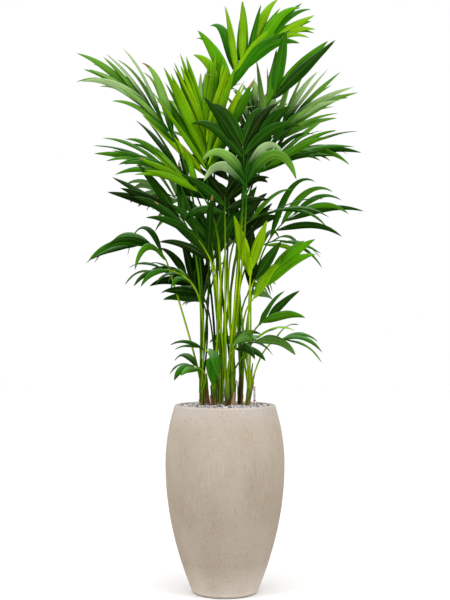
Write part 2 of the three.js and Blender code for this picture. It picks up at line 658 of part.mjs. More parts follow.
const holes = [
  ...STEMS.map((stem) => solidOf(stemGeometry(stem, GAP).translate(...onMix(stem.foot)))),
  solidOf(gaugeGeometry(GAP).translate(...onMix(GAUGE.place))),
];
const pot = new THREE.Group();
pot.name = "filled_planter";
pot.add(namedMesh("planter", planterGeometry(), 0xbcae9d, 0.85));
pot.add(namedMesh("potting_mix", mixGeometry(), 0x3a2a1e, 1));
pot.add(namedMesh("gravel_layer", gravelGeometry(holes), 0xa39c96, 0.8));
pot.add(standing("water_gauge", gaugeGeometry(), GAUGE.place, 0xe6e6e2, 0.4));

const clump = new THREE.Group();
clump.name = "clump";
for (const stem of STEMS) {
  clump.add(standing(stem.name, stemGeometry(stem), stem.foot, 0x5c7a1f, 0.7));
}

const placed = new Placed();
for (const mesh of [...pot.children, ...clump.children]) placed.add(mesh.name, placedSolidOf(mesh));
frondSolids(placed).forEach((solid, i) => {
  const { name, tone } = FRONDS[i];
  clump.add(namedMesh(name, geometryOf(solid), TONES[tone], 0.5));
});

const palm = new THREE.Group();
palm.name = "kentia_palm";
palm.add(pot, clump);

export default palm;
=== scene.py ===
# A kentia palm (Howea) in a tall round planter: the looks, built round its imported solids.
#
# The plant's sizes are in millimetres, as in the part's source, and MM turns them into
# Blender's metres. The fronds grow by the source's rule, written again here with more points.
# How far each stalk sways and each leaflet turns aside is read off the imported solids.

from collections import namedtuple
from math import acos, atan2, ceil, cos, exp, hypot, pi, radians, sin, sqrt

import bmesh
import bpy
import numpy as np
from mathutils import Matrix, kdtree
from mathutils.bvhtree import BVHTree


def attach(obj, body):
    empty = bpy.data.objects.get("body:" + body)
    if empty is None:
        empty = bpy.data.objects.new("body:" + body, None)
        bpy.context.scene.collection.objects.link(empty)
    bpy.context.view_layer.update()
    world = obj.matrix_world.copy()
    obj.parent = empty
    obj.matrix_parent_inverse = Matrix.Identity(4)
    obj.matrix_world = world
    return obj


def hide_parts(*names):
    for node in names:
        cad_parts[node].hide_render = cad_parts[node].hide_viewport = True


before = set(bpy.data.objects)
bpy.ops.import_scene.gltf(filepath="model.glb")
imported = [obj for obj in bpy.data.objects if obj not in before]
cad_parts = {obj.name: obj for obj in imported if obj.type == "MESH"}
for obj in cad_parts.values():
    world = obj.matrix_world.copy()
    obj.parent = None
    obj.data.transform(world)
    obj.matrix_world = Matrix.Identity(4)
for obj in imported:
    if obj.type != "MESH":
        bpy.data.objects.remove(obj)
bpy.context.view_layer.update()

MM = 0.001


def linked(name, data):
    """A new object of the scene."""
    thing = bpy.data.objects.new(name, data)
    bpy.context.collection.objects.link(thing)
    return thing


# ---- camera

CAMERA_PLACE = (0.0, -4.0, 0.995)
LENS = 65.6
SENSOR = 36.0
SHIFT_UP = 0.0317


def make_camera():
    data = bpy.data.cameras.new("camera")
    data.lens = LENS
    data.sensor_width = SENSOR
    data.shift_y = SHIFT_UP
    camera = linked("camera", data)
    camera.location = CAMERA_PLACE
    camera.rotation_euler = (radians(90), 0, 0)
    bpy.context.scene.camera = camera


make_camera()

# ---- sizes shared with the solids

GAP = 0.3

PLANTER_HEIGHT = 682
FOOT_RADIUS = 118
BELLY_RADIUS = 217.5
BELLY_HEIGHT = 465
RIM_RADIUS = 183
WALL = 22
FLOOR = 26
FOOT_FILLET = 14
RIM_ROUNDING = 8
MOUTH_BEVEL = 5
MIX_TOP = 648
GRAVEL_TOP = 677
GRAVEL_CROWN = 3

GAUGE_PLACE = (110, 66)
GAUGE_RADIUS = 4
GAUGE_LENGTH = 97

Stem = namedtuple("Stem", "foot top radius")
STEM_HEIGHTS = (0, 0.1, 0.5, 1)
STEM_SHAPE = (1.15, 1, 1.05)  # shares of its radius at the first three heights
STEM_TOP_RADIUS = 9.6
STEMS = [
    Stem((-82, -14), (-86, -18, 735), 8),
    Stem((-60, 24), (-80, 26, 790), 8.5),
    Stem((-38, -30), (-41, -36, 760), 8.5),
    Stem((-14, 12), (-12, 16, 820), 8.5),
    Stem((8, -48), (6, -54, 740), 8),
    Stem((26, -12), (30, -14, 800), 9),
    Stem((16, 48), (20, 56, 830), 8.5),
    Stem((54, 20), (60, 24, 780), 8.5),
    Stem((76, -22), (88, -28, 740), 8),
    Stem((-28, 64), (-33, 72, 810), 8.5),
]

STALK_BASE, STALK_NECK, STALK_TIP = 3.4, 3.0, 1.6  # radii
SWELL_AT = 1 / 3  # of the petiole
SWELL_HEIGHTS = (900, 1500)  # of necks, where the petiole's swelling has these radii:
SWELL_RADII = (3.0, 5.0)
STALK_CLEARANCE = 0.9
FOOT_REACH = 0.12  # share of the petiole that goes straight up from the stem
NECK_REACH = 0.28  # share of it that follows the rib's direction
PETIOLE_STEPS = 6
SWAYS = (0, 12, -12, 24, -24, 36, -36, 50, -50, 66, -66, 84, -84)
TURNS = (
    (0, 0), (6, 0), (-6, 0), (0, 7), (0, -7), (12, 0), (-12, 0), (0, 14), (0, -14),
    (10, 12), (-10, 12), (10, -12), (-10, -12), (18, 0), (0, 22), (0, -22),
)
SHORTENINGS = (1, 0.82)
LEAFLET_STEPS = 12
# how much leaflets of one frond differ: see leaflet_at
VARY_PLACE, VARY_SPREAD, VARY_DROOP, VARY_LENGTH = 0.3, 0.18, 0.6, 0.14
LIFT = (10, 20)  # degrees out of the rib's plane: the mean, and how much more or less
TWIST = (12, 30)  # the same for their turn about themselves
LEAFLETS_ON_RIB = (0.04, 0.97)  # where the first and last leaflets grow

# neck: where the leaflets begin. heading: the rib's compass direction, counted from +X.
# rise: its slope at the neck. bend: by how much it comes down. rib: its length. face: where
# the upper side looks, as compass direction and height. pairs: of leaflets. leaf: length and
# width of the longest. spread: the leaflets' angle from the rib, at the neck and the tip.
# droop: their bending. skew: how much more the left leaflets spread at the neck, and the right
# ones less. seed: of the small differences between leaflets, if it isn't the row's number.
Frond = namedtuple(
    "Frond",
    "name stem neck heading rise bend rib face pairs leaf spread droop tone skew seed",
    defaults=[0, None],
)
FRONDS = [Frond(*row) for row in (
    # the top of the crown
    ("plume", 7, (2, 60, 1818), 8, 68, 30, 275,
     (-95, 14), 7, (264, 46), (34, 9), (0.75, 0.6), "mid", 26, 6),
    ("lime_fan", 4, (-64, -10, 1500), 120, 88, 8, 210,
     (-90, 10), 8, (345, 35), (36, 8), (0.15, 0.1), "lime", 2, 57),
    ("left_sweep", 2, (-172, -40, 1622), 184, 64, 28, 250,
     (-80, 40), 5, (300, 34), (17, 7), (0.6, 0.6), "pale", -2, 7),
    ("front_star", 5, (67, -95, 1563), 100, 80, 4, 60,
     (-90, 20), 3, (235, 44), (44, 14), (0.8, 0.7), "dark", -10, 3),
    ("star_arch", 6, (76, -130, 1451), 90, 84, 6, 60,
     (-90, 10), 2, (250, 40), (40, 26), (2.1, 2.0), "pale", 0, 6),
    ("right_blades", 8, (146, 40, 1768), 10, 59, 4, 110,
     (-110, 20), 2, (286, 50), (34, 12), (0.1, 0.1), "deep"),
    # the right side, from high to low
    ("right_high", 4, (150, 110, 1630), 12, 64, 30, 190,
     (-90, 40), 6, (312, 27), (34, 8), (0.4, 0.4), "pale", 0, 4),
    ("right_arch", 9, (110, -10, 1510), -4, 52, 40, 190,
     (-90, 50), 5, (272, 32), (30, 8), (0.6, 0.8), "deep", -8),
    ("right_mid", 8, (162, 40, 1285), 8, 58, 30, 170,
     (-90, 20), 3, (285, 27), (30, 8), (0.9, 0.9), "deep", -12, 4),
    ("right_mid_front", 6, (80, -20, 1345), -6, 36, 30, 130,
     (-90, 60), 2, (250, 28), (20, 10), (0.6, 1.0), "deep", 6),
    ("right_thin", 6, (128, 90, 1262), 16, 36, 50, 130,
     (-90, 60), 3, (190, 22), (40, 14), (1.1, 1.1), "mid"),
    ("young_pair", 9, (90, -90, 1140), 0, 86, 6, 30,
     (-90, 10), 1, (228, 48), (15, 7), (0.3, 0.3), "lime", 9),
    ("right_diagonal", 9, (98, -10, 1062), 2, 56, 8, 150,
     (-90, 30), 2, (225, 44), (10, 5), (0.6, 0.6), "mid"),
    ("right_low", 8, (116, -10, 965), -4, 48, 20, 60,
     (-90, 50), 2, (185, 34), (26, 10), (0.6, 0.6), "deep"),
    ("right_lowest", 9, (165, -30, 905), 0, 36, 40, 60,
     (-90, 60), 2, (190, 24), (30, 10), (1.1, 1.1), "deep"),
    ("right_hanging", 6, (100, -80, 915), -70, 50, 40, 30,
     (-80, 70), 2, (165, 42), (86, 20), (1.3, 1.3), "mid"),
    ("front_low", 5, (28, -90, 880), -20, 50, 40, 30,
     (-80, 70), 2, (150, 34), (60, 16), (1.5, 1.5), "dark"),
    # the left side, from high to low
    ("left_high", 2, (-112, 40, 1462), 178, 58, 42, 205,
     (-90, 50), 5, (280, 32), (32, 8), (0.7, 0.6), "deep", 0, 4),
    ("left_lime", 3, (-90, -50, 1450), 170, 46, 10, 90,
     (-90, 40), 4, (205, 26), (34, 10), (0.3, 0.3), "lime"),
    ("left_mid", 1, (-138, -40, 1330), 180, 64, 44, 110,
     (-90, 30), 3, (262, 40), (26, 8), (0.3, 0.15), "dark"),
    ("left_arch", 1, (-210, -20, 1198), 180, 72, 86, 150,
     (-90, 75), 4, (256, 27), (24, 12), (2.3, 1.2), "deep", 8, 10),
    ("left_low_arch", 1, (-118, -50, 1120), 182, 52, 66, 160,
     (-90, 75), 4, (150, 24), (44, 24), (1.6, 1.6), "deep", 0, 2),
    ("left_low", 2, (-80, 44, 1052), 176, 74, 30, 130,
     (-90, 20), 4, (170, 36), (60, 14), (0.6, 0.6), "dark", 12, 6),
    ("left_lowest", 1, (-84, -62, 812), 190, 45, 40, 40,
     (-90, 60), 2, (130, 32), (40, 16), (1.6, 1.6), "deep"),
    ("left_tendril", 3, (-66, -44, 880), 176, 40, 30, 30,
     (-90, 60), 1, (140, 18), (12, 6), (1.2, 1.2), "deep"),
    ("front_hanging", 3, (-38, -84, 868), -90, 20, 40, 14,
     (-90, 60), 1, (170, 62), (5, 3), (5, 5), "deep"),
    # the dark heart of the clump
    ("heart_front", 5, (0, -80, 1370), 90, 82, 8, 70,
     (-90, 20), 3, (180, 36), (78, 24), (0.9, 0.9), "dark"),
    ("heart_left", 3, (-40, -48, 1190), 110, 78, 10, 120,
     (-90, 10), 4, (210, 42), (44, 12), (0.5, 0.5), "dark"),
    ("heart_right", 6, (40, 6, 1230), 70, 80, 10, 130,
     (-90, 10), 4, (210, 42), (44, 12), (0.5, 0.5), "dark"),
    ("heart_top", 4, (14, 20, 1430), 90, 84, 8, 130,
     (-90, 20), 4, (200, 46), (72, 20), (0.9, 0.5), "dark", 20),
    ("dark_blades", 8, (108, -60, 1590), 14, 74, 6, 40,
     (-90, 10), 1, (225, 66), (8, 12), (0.4, 0.9), "dark"),
    # the back
    ("back_top", 10, (-60, 130, 1600), 118, 68, 26, 250,
     (90, 40), 4, (300, 38), (40, 10), (0.6, 0.6), "pale"),
    ("back_right", 7, (84, 140, 1640), 72, 74, 30, 200,
     (90, 50), 4, (290, 38), (34, 10), (0.7, 0.7), "pale"),
    ("back_left", 10, (-120, 140, 1380), 134, 50, 40, 230,
     (90, 50), 4, (270, 36), (44, 10), (0.7, 0.7), "deep"),
    ("back_middle", 4, (0, 130, 1240), 94, 54, 44, 210,
     (90, 50), 4, (260, 38), (46, 12), (0.8, 0.8), "dark"),
    ("back_low_right", 8, (84, 110, 1085), 64, 56, 46, 150,
     (90, 50), 4, (200, 32), (44, 12), (0.9, 0.9), "deep"),
    ("back_low_left", 10, (-66, 120, 1040), 118, 58, 46, 150,
     (90, 50), 4, (200, 32), (44, 12), (0.9, 0.9), "deep"),
    ("back_lowest", 7, (20, 110, 900), 84, 44, 40, 60,
     (90, 60), 3, (150, 30), (44, 14), (1.2, 1.2), "deep"),
    # in front
    ("front_left", 5, (-50, -118, 1200), -160, 66, 24, 130,
     (-90, 40), 3, (215, 32), (34, 12), (0.5, 0.4), "dark", 0, 7),
    ("front_right", 9, (91, -70, 1100), -8, 72, 8, 40,
     (-90, 20), 1, (235, 50), (16, 8), (0.3, 0.3), "dark", 0, 1),
)]

# ---- vectors


def unit(vector):
    return vector / np.linalg.norm(vector)


def direction(compass, height):
    """A direction from a compass direction and a height in degrees."""
    a, b = radians(compass), radians(height)
    return np.array([cos(b) * cos(a), cos(b) * sin(a), sin(b)])


def square_to(vector, along):
    """The part of a vector that is square to a direction, as a unit vector."""
    return unit(vector - along * np.dot(vector, along))


def rotated(vector, axis, angle):
    c, s = cos(angle), sin(angle)
    return vector * c + np.cross(axis, vector) * s + axis * np.dot(axis, vector) * (1 - c)


def ring_of(radii, angles, heights):
    """Points round +Z."""
    return np.column_stack([radii * np.cos(angles), radii * np.sin(angles), heights + 0 * angles])


def lerp(a, b, t):
    return a + (b - a) * t


def smooth(t):
    """0 below 0, 1 above 1, and a smooth step between them."""
    t = np.clip(t, 0, 1)
    return t * t * (3 - 2 * t)


def jitter(frond, leaflet, channel):
    """A repeatable number between -1 and 1."""
    wave = sin(frond * 78.233 + leaflet * 12.9898 + channel * 37.719) * 43758.5453
    return 2 * (wave % 1) - 1


# ---- closed shapes joined into a mesh


class Shapes:
    """Closed shapes that become one mesh. Each is a loft of rings from a root point to a tip
    point. The map "Shape" runs across it and along it, and "OFBake" gives each a cell of its own."""

    def __init__(self, rows):
        self.rows = rows  # of cells in the map "OFBake"
        self.points = []
        self.faces = []
        self.slots = []
        self.shape_map = []
        self.cells = []
        self.total = 0

    def loft(self, root, rings, tip, slot_of=lambda ring, point: 0, across=None):
        """rings is an array of ring, point, xyz. slot_of(ring, point) gives a face's material,
        and across what the map "Shape" says at each point of a ring and back at the first. The
        two halves of a ring are cut along opposite diagonals, so that the two sides of a thin
        blade are cut alike and don't cross."""
        count, sides = rings.shape[:2]
        start = sum(len(p) for p in self.points)
        self.points.append(np.vstack([root[None], rings.reshape(-1, 3), tip[None]]))
        around = np.linspace(0, 1, sides + 1)
        across = around if across is None else across
        last = start + 1 + count * sides
        for j in range(sides):
            k = (j + 1) % sides
            left, right = (across[j], around[j]), (across[j + 1], around[j + 1])
            middle = (0.5 * (left[0] + right[0]), 0.5 * (left[1] + right[1]))
            low, high = start + 1, start + 1 + (count - 1) * sides
            self._face((start, low + k, low + j), (middle, right, left), (0, 1, 1), count, slot_of(0, j))
            cuts = ((0, 1, 3), (1, 2, 3)) if 2 * j < sides else ((0, 1, 2), (0, 2, 3))
            for i in range(1, count):
                a, b = low + (i - 1) * sides, low + i * sides
                corners = [(a + j, left, i), (a + k, right, i), (b + k, right, i + 1), (b + j, left, i + 1)]
                for cut in cuts:
                    self._face(*zip(*(corners[n] for n in cut)), count, slot_of(i, j))
            ends = (count, count, count + 1)
            self._face((high + j, high + k, last), (left, right, middle), ends, count, slot_of(count, j))
        self.total += 1

    def _face(self, corners, rounds, along, count, slot):
        self.faces.append(corners)
        self.slots.append(slot)
        for (across, around), ring in zip(rounds, along):
            self.shape_map.append((across, ring / (count + 1)))
            self.cells.append((self.total, around))

    def build(self, name, materials):
        mesh = bpy.data.meshes.new(name)
        mesh.from_pydata((np.vstack(self.points) * MM).tolist(), [], self.faces)
        for material in materials:
            mesh.materials.append(material)
        mesh.polygons.foreach_set("material_index", self.slots)
        mesh.shade_smooth()
        shape_map = np.array(self.shape_map)
        cell, around = np.array(self.cells).T
        columns = ceil(self.total / self.rows)
        baked = np.column_stack([
            (cell % columns + 0.05 + 0.9 * around) / columns,  # 5% and 2% of a cell stay free
            (cell // columns + 0.02 + 0.96 * shape_map[:, 1]) / self.rows,
        ])
        mesh.uv_layers.new(name="Shape").data.foreach_set("uv", shape_map.ravel())
        mesh.uv_layers.new(name="OFBake").data.foreach_set("uv", baked.ravel())
        mesh.uv_layers["Shape"].active = True
        return linked(name, mesh)


# ---- colours and materials


def srgb(red, green, blue):
    """A linear colour from the 0 to 255 values that a screen shows."""
    def linear(value):
        value /= 255
        return value / 12.92 if value <= 0.04045 else ((value + 0.055) / 1.055) ** 2.4
    return (linear(red), linear(green), linear(blue), 1.0)


def grey(value):
    return (value, value, value, 1.0)


def darker(colour, share):
    return tuple(share * c for c in colour[:3]) + (1.0,)


def mixed(colour, other, share):
    return tuple(lerp(c, d, share) for c, d in zip(colour[:3], other)) + (1.0,)


BLACK = grey(0.0)
WHITE = grey(1.0)


def set_stops(node, stops):
    elements = node.color_ramp.elements
    while len(elements) < len(stops):
        elements.new(0.5)
    for element, (place, colour) in zip(elements, stops):
        element.position = place
        element.color = colour


class Paint:
    """A Principled material and the nodes that feed it."""

    def __init__(self, name, roughness, specular, gloss=WHITE):
        self.material = bpy.data.materials.new(name)
        self.material.use_nodes = True
        self.tree = self.material.node_tree
        self.shader = self.tree.nodes["Principled BSDF"]
        self.shader.inputs["Roughness"].default_value = roughness
        self.shader.inputs["Specular IOR Level"].default_value = specular
        self.shader.inputs["Specular Tint"].default_value = gloss

    def feed(self, socket, value):
        """Set a socket to a number or a colour, or link it to another socket."""
        if isinstance(value, bpy.types.NodeSocket):
            self.tree.links.new(value, socket)
        else:
            socket.default_value = value

    def node(self, kind, inputs=(), **settings):
        node = self.tree.nodes.new(kind)
        for key, value in settings.items():
            setattr(node, key, value)
        for key, value in dict(inputs).items():
            self.feed(node.inputs[key], value)
        return node

    def shape_map(self):
        return self.node("ShaderNodeUVMap", uv_map="Shape").outputs["UV"]

    def object_place(self):
        return self.node("ShaderNodeTexCoord").outputs["Object"]

    def height_of(self, vector):
        return self.node("ShaderNodeSeparateXYZ", {"Vector": vector}).outputs["Z"]

    def noise(self, vector, scale, detail=2.0):
        """Noise of one scale, or of a scale along each axis."""
        if isinstance(scale, tuple):
            vector = self.node("ShaderNodeMapping", {"Vector": vector, "Scale": scale}).outputs["Vector"]
            scale = 1.0
        inputs = {"Vector": vector, "Scale": scale, "Detail": detail}
        return self.node("ShaderNodeTexNoise", inputs).outputs["Fac"]

    def ramp(self, value, stops):
        node = self.node("ShaderNodeValToRGB", {"Fac": value})
        set_stops(node, stops)
        return node.outputs["Color"]

    def math(self, operation, a, b=0.0):
        node = self.node("ShaderNodeMath", operation=operation)
        for socket, value in zip(node.inputs, (a, b)):
            self.feed(socket, value)
        return node.outputs["Value"]

    def mix(self, factor, a, b, blend="MIX"):
        node = self.node("ShaderNodeMix", data_type="RGBA", blend_type=blend)
        for key, value in (("Factor_Float", factor), ("A_Color", a), ("B_Color", b)):
            self.feed(next(s for s in node.inputs if s.identifier == key), value)
        return next(s for s in node.outputs if s.identifier == "Result_Color")

    def layer(self, base, value, edges, strength, tint):
        """The base with a tint over it: none at the value's first edge, growing to the strength
        at the second, which may be the lower one."""
        stops = sorted(zip(edges, (BLACK, grey(strength))))
        return self.mix(self.ramp(value, stops), base, tint)

    def finished(self, colour, height=None, distance=0.0, strength=0.0):
        """The material with its colour and, where a height is given, its bump."""
        self.feed(self.shader.inputs["Base Color"], colour)
        if height is not None:
            inputs = {"Height": height, "Distance": distance, "Strength": strength}
            bump = self.node("ShaderNodeBump", inputs).outputs["Normal"]
            self.feed(self.shader.inputs["Normal"], bump)
        return self.material


def mottled_paint(name, finish, grain, stops, bump=()):
    """A material whose colour wanders between stops. finish is its roughness and specular
    level, grain the scale and detail of the wandering, and bump its depth and strength."""
    paint = Paint(name, *finish)
    wander = paint.noise(paint.object_place(), *grain)
    return paint.finished(paint.ramp(wander, stops), *((wander, *bump) if bump else ()))


# ---- leaf materials

# dark: deep green, darkened further as painted shade of the dense heart
# greens of the upper side for each tone, dealt out among its leaflets; the darker ones are partly painted
# shade between leaflets
# lime: young leaves' yellow-green, brightened by painted light shining through from behind
# pale: glaucous green with a painted whitish reflection of the sky in it
LEAF_COLOURS = {
    "lime": [srgb(126, 176, 4), srgb(96, 156, 4), srgb(52, 114, 2)],
    "mid": [srgb(82, 156, 4), srgb(38, 108, 2), srgb(118, 174, 12)],
    "pale": [srgb(114, 164, 70), srgb(88, 144, 42), srgb(150, 186, 126)],
    "deep": [srgb(36, 98, 4), srgb(14, 62, 2), srgb(64, 126, 10)],
    "dark": [srgb(9, 50, 2), srgb(3, 30, 1), srgb(22, 70, 5)],
}
PAINTED_SKY_SHEEN = srgb(128, 164, 116)  # a painted reflection of the bright sky on what faces up, and each tone's share of it:
PAINTED_SHEEN_SHARES = {"lime": 0.3, "mid": 0.5, "pale": 0.7, "deep": 0.45, "dark": 0.25}
LEAF_GLOSS = (0.6, 1.0, 0.3, 1.0)
PALE_MIDRIB = (0.42, 0.55, 0.16)
MIDRIB_HALF_WIDTH = 0.02  # in the map "Shape"
UNDERSIDE = srgb(120, 152, 100)
UNDER = 3  # place of the underside's material, after the three of the upper side
DRY_TIP = 4


def leaf_paint(name, tone, colour, under=False):
    """A leaf's surface: veins along it, a pale midrib, a slow change of green, and a painted reflection of
    the sky where its upper side faces up.
    """
    paint = Paint(name, 0.5 if under else 0.4, 0.08, LEAF_GLOSS)
    shape = paint.shape_map()
    across, along = paint.node("ShaderNodeSeparateXYZ", {"Vector": shape}).outputs[:2]
    pale = mixed(colour, PALE_MIDRIB, 0.35)
    deeper = darker(colour, 0.55)
    fresh = (min(1.0, colour[0] * 1.5 + 0.01), min(1.0, colour[1] * 1.3 + 0.01), colour[2] * 1.1, 1.0)
    wander = paint.noise(paint.object_place(), 11.0, 3.0)
    green = paint.ramp(wander, [(0.34, deeper), (0.66, colour)])
    bands = paint.noise(shape, (9.0, 0.5, 1.0))
    green = paint.layer(green, bands, (0.42, 0.6), 0.75, fresh)
    veins = paint.noise(shape, (70.0, 1.0, 1.0))
    green = paint.layer(green, veins, (0.5, 0.36), 0.5, deeper)
    # the pale tone turns dark green towards the root, where its painted sky reflection ends
    if tone == "pale":
        green = paint.layer(green, along, (0.5, 0.2), 1.0, LEAF_COLOURS["dark"][2])
    else:
        green = paint.layer(green, along, (0.16, 0.0), 1.0, fresh)
    if not under:
        # painted reflection: the upper side turns to a whitish sheen of the sky where it faces up
        up = paint.height_of(paint.node("ShaderNodeNewGeometry").outputs["Normal"])
        green = paint.layer(green, up, (0.55, 0.95), PAINTED_SHEEN_SHARES[tone], PAINTED_SKY_SHEEN)
    off_middle = paint.math("ABSOLUTE", paint.math("SUBTRACT", across, 0.5))
    midrib = paint.math("LESS_THAN", off_middle, MIDRIB_HALF_WIDTH)
    green = paint.mix(paint.math("MULTIPLY", midrib, 0.3), green, pale)
    return paint.finished(green, veins, 0.0008, 0.4)


LEAF_MATERIALS = {
    tone: [
        *(leaf_paint(f"leaf_{tone}_{i}", tone, colour) for i, colour in enumerate(colours)),
        leaf_paint(f"leaf_{tone}_under", tone, mixed(colours[0], UNDERSIDE, 0.4), under=True),
    ]
    for tone, colours in LEAF_COLOURS.items()
}

DRY_BROWNS = [(0.35, srgb(112, 90, 40)), (0.7, srgb(156, 134, 70))]
DRY = mottled_paint("dry_leaf_tip", (0.7, 0.3), (160.0, 3.0), DRY_BROWNS)

CROWN_FROM = 0.85  # metres above the floor
CROWN_STALK = srgb(34, 84, 6)


def stalk_paint(name, dark, colour, light):
    """A stalk: streaked along its length, bright below and leaf green in the crown."""
    paint = Paint(name, 0.4, 0.15, LEAF_GLOSS)
    place = paint.object_place()
    streaks = paint.noise(paint.shape_map(), (9.0, 5.0, 1.0), 3.0)
    green = paint.ramp(streaks, [(0.34, dark), (0.5, colour), (0.68, light)])
    slow = paint.noise(place, 6.0)
    green = paint.layer(green, slow, (0.42, 0.7), 0.6, dark)
    height = paint.math("SUBTRACT", paint.height_of(place), CROWN_FROM)
    green = paint.layer(green, height, (0.3, 0.55), 1.0, CROWN_STALK)
    return paint.finished(green, streaks, 0.0006, 0.4)


# one stalk paint in three brightnesses; make_stalk deals the darker ones to stalks further back, as painted
# shade
STALK_MATERIALS = [
    stalk_paint("stalk_bright", srgb(74, 120, 2), srgb(140, 180, 2), srgb(190, 212, 14)),
    stalk_paint("stalk_green", srgb(34, 78, 2), srgb(80, 128, 4), srgb(124, 164, 12)),
    stalk_paint("stalk_deep", srgb(10, 38, 2), srgb(32, 74, 4), srgb(70, 114, 10)),
]

# ---- the rule of the fronds

Station = namedtuple("Station", "place along upper")
Leaflet = namedtuple("Leaflet", "t side spread lift twist droop length width")


def rib_at(frond, t):
    """Place, direction and upper side of a frond's rib, from 0 at the neck to 1 at the tip."""
    rise, bend, heading = (radians(v) for v in (frond.rise, frond.bend, frond.heading))
    slope = rise - bend * t
    level = frond.rib * (sin(rise) - sin(slope)) / bend
    up = frond.rib * (cos(slope) - cos(rise)) / bend
    place = np.array(frond.neck) + (level * cos(heading), level * sin(heading), up)
    hinge = np.array([sin(heading), -cos(heading), 0.0])
    start = direction(frond.heading, frond.rise)
    upper = square_to(direction(*frond.face), start)
    return Station(place, rotated(start, hinge, -bend * t), rotated(upper, hinge, -bend * t))


def stalk_feet():
    """Where each frond's stalk stands on its stem's top."""
    feet = {}
    for number, stem in enumerate(STEMS, 1):
        x, y, z = stem.top
        bearings = {f.name: atan2(f.neck[1] - y, f.neck[0] - x) for f in FRONDS if f.stem == number}
        names = sorted(bearings, key=bearings.get)
        middle = sum(bearings.values()) / len(names)
        ring = (STALK_BASE + 0.5 * STALK_CLEARANCE) / sin(pi / len(names)) if len(names) > 1 else 0
        for k, name in enumerate(names):
            angle = middle + 2 * pi * (k - 0.5 * (len(names) - 1)) / len(names)
            feet[name] = np.array([x + ring * cos(angle), y + ring * sin(angle), z + GAP])
    return feet


FEET = stalk_feet()


def petiole(frond, sway, steps):
    """Places and directions from a stalk's foot up to, but not with, its neck."""
    foot, neck = FEET[frond.name], rib_at(frond, 0)
    length = np.linalg.norm(neck.place - foot)
    aside = unit(np.array([neck.place[1] - foot[1], foot[0] - neck.place[0], 0.0]))
    a, b = foot, foot + (0, 0, FOOT_REACH * length)
    c, d = neck.place - NECK_REACH * length * neck.along + sway * aside, neck.place
    stations = []
    for i in range(steps):
        t = i / steps
        u = 1 - t
        place = u**3 * a + 3 * u * u * t * b + 3 * u * t * t * c + t**3 * d
        along = unit(u * u * (b - a) + 2 * u * t * (c - b) + t * t * (d - c))
        stations.append((place, along))
    return stations


def petiole_radius(frond, t):
    """Radius of a petiole from 0 at its foot to 1 at the neck. Those of tall fronds swell more."""
    swell = np.interp(frond.neck[2], SWELL_HEIGHTS, SWELL_RADII)
    return np.interp(t, (0, SWELL_AT, 1), (STALK_BASE, swell, STALK_NECK))


def seed_of(frond):
    return frond.seed or FRONDS.index(frond) + 1


def leaflet_at(frond, order):
    """A leaflet of a frond: where it starts on the rib, its side, length and width. The
    source's have whole orders, even ones on the left."""
    def differ(channel):
        return jitter(seed_of(frond), order, channel)

    side = 1 if int(order) % 2 else -1
    place = (order + VARY_PLACE * differ(0)) / (2 * frond.pairs - 1)
    t = lerp(*LEAFLETS_ON_RIB, min(1, max(0, place)))
    swell = sin(pi * min(1, 0.3 + 0.7 * t))
    spread = lerp(*frond.spread, t**0.8) * (1 + VARY_SPREAD * differ(1))
    return Leaflet(
        t=t,
        side=side,
        spread=spread - side * frond.skew * (1 - t),
        lift=LIFT[0] + LIFT[1] * differ(2),
        twist=side * (TWIST[0] + TWIST[1] * differ(3)),
        droop=lerp(*frond.droop, t) * (1 + VARY_DROOP * differ(4)),
        length=frond.leaf[0] * (0.78 + 0.22 * swell) * (1 + VARY_LENGTH * differ(5)),
        width=frond.leaf[1] * (0.82 + 0.18 * swell),
    )


def midrib_of(frond, leaflet, turn, shortening, steps):
    """Places, directions and upper sides along a leaflet's midrib, root first."""
    place, along, upper = rib_at(frond, leaflet.t)
    across = np.cross(along, upper)
    spread, lift = radians(leaflet.spread + turn[0]), radians(leaflet.lift + turn[1])
    start = (
        along * cos(spread)
        + across * leaflet.side * sin(spread) * cos(lift)
        + upper * sin(spread) * sin(lift)
    )
    step = leaflet.length * shortening / steps
    normal = rotated(square_to(upper, start), start, radians(leaflet.twist))
    stations = [Station(place, start, normal)]
    for k in range(steps):
        share = (k + 0.5) / steps
        heading = unit(start - (0, 0, leaflet.droop * share**1.7))
        place = place + step * heading
        normal = square_to(normal, heading)
        stations.append(Station(place, heading, normal))
    return stations


# ---- what the solids took

SAME_POINT = 0.6 * MM
CLEARANCE = 9 * MM  # of a leaflet's midrib from another frond
NEAR = 200 * MM  # how far from a leaflet's middle another frond can be in its way


def tree_of(node):
    """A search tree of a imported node's points."""
    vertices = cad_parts[node].data.vertices
    tree = kdtree.KDTree(len(vertices))
    for vertex in vertices:
        tree.insert(vertex.co, vertex.index)
    tree.balance()
    return tree


def surface_of(node):
    """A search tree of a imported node's surface."""
    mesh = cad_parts[node].data
    faces = [list(polygon.vertices) for polygon in mesh.polygons]
    return BVHTree.FromPolygons([vertex.co for vertex in mesh.vertices], faces)


SURFACES = {frond.name: surface_of(f"frond_{frond.name}") for frond in FRONDS}


def sway_taken(frond, tree):
    """The sway whose stalk the solid has: the one whose middle lies nearest to its points."""
    def distance(sway):
        place, _ = petiole(frond, sway, PETIOLE_STEPS)[PETIOLE_STEPS // 2]
        return abs(tree.find(place * MM)[2] - petiole_radius(frond, 0.5) * MM)
    return min(SWAYS, key=distance)


def growth_taken(frond, leaflet, tree):
    """The turn and shortening whose tip the solid has, or None where it leaves the leaflet out."""
    for shortening in SHORTENINGS:
        for turn in TURNS:
            tip = midrib_of(frond, leaflet, turn, shortening, LEAFLET_STEPS)[-1].place
            if tree.find(tip * MM)[2] < SAME_POINT:
                return turn, shortening
    return None


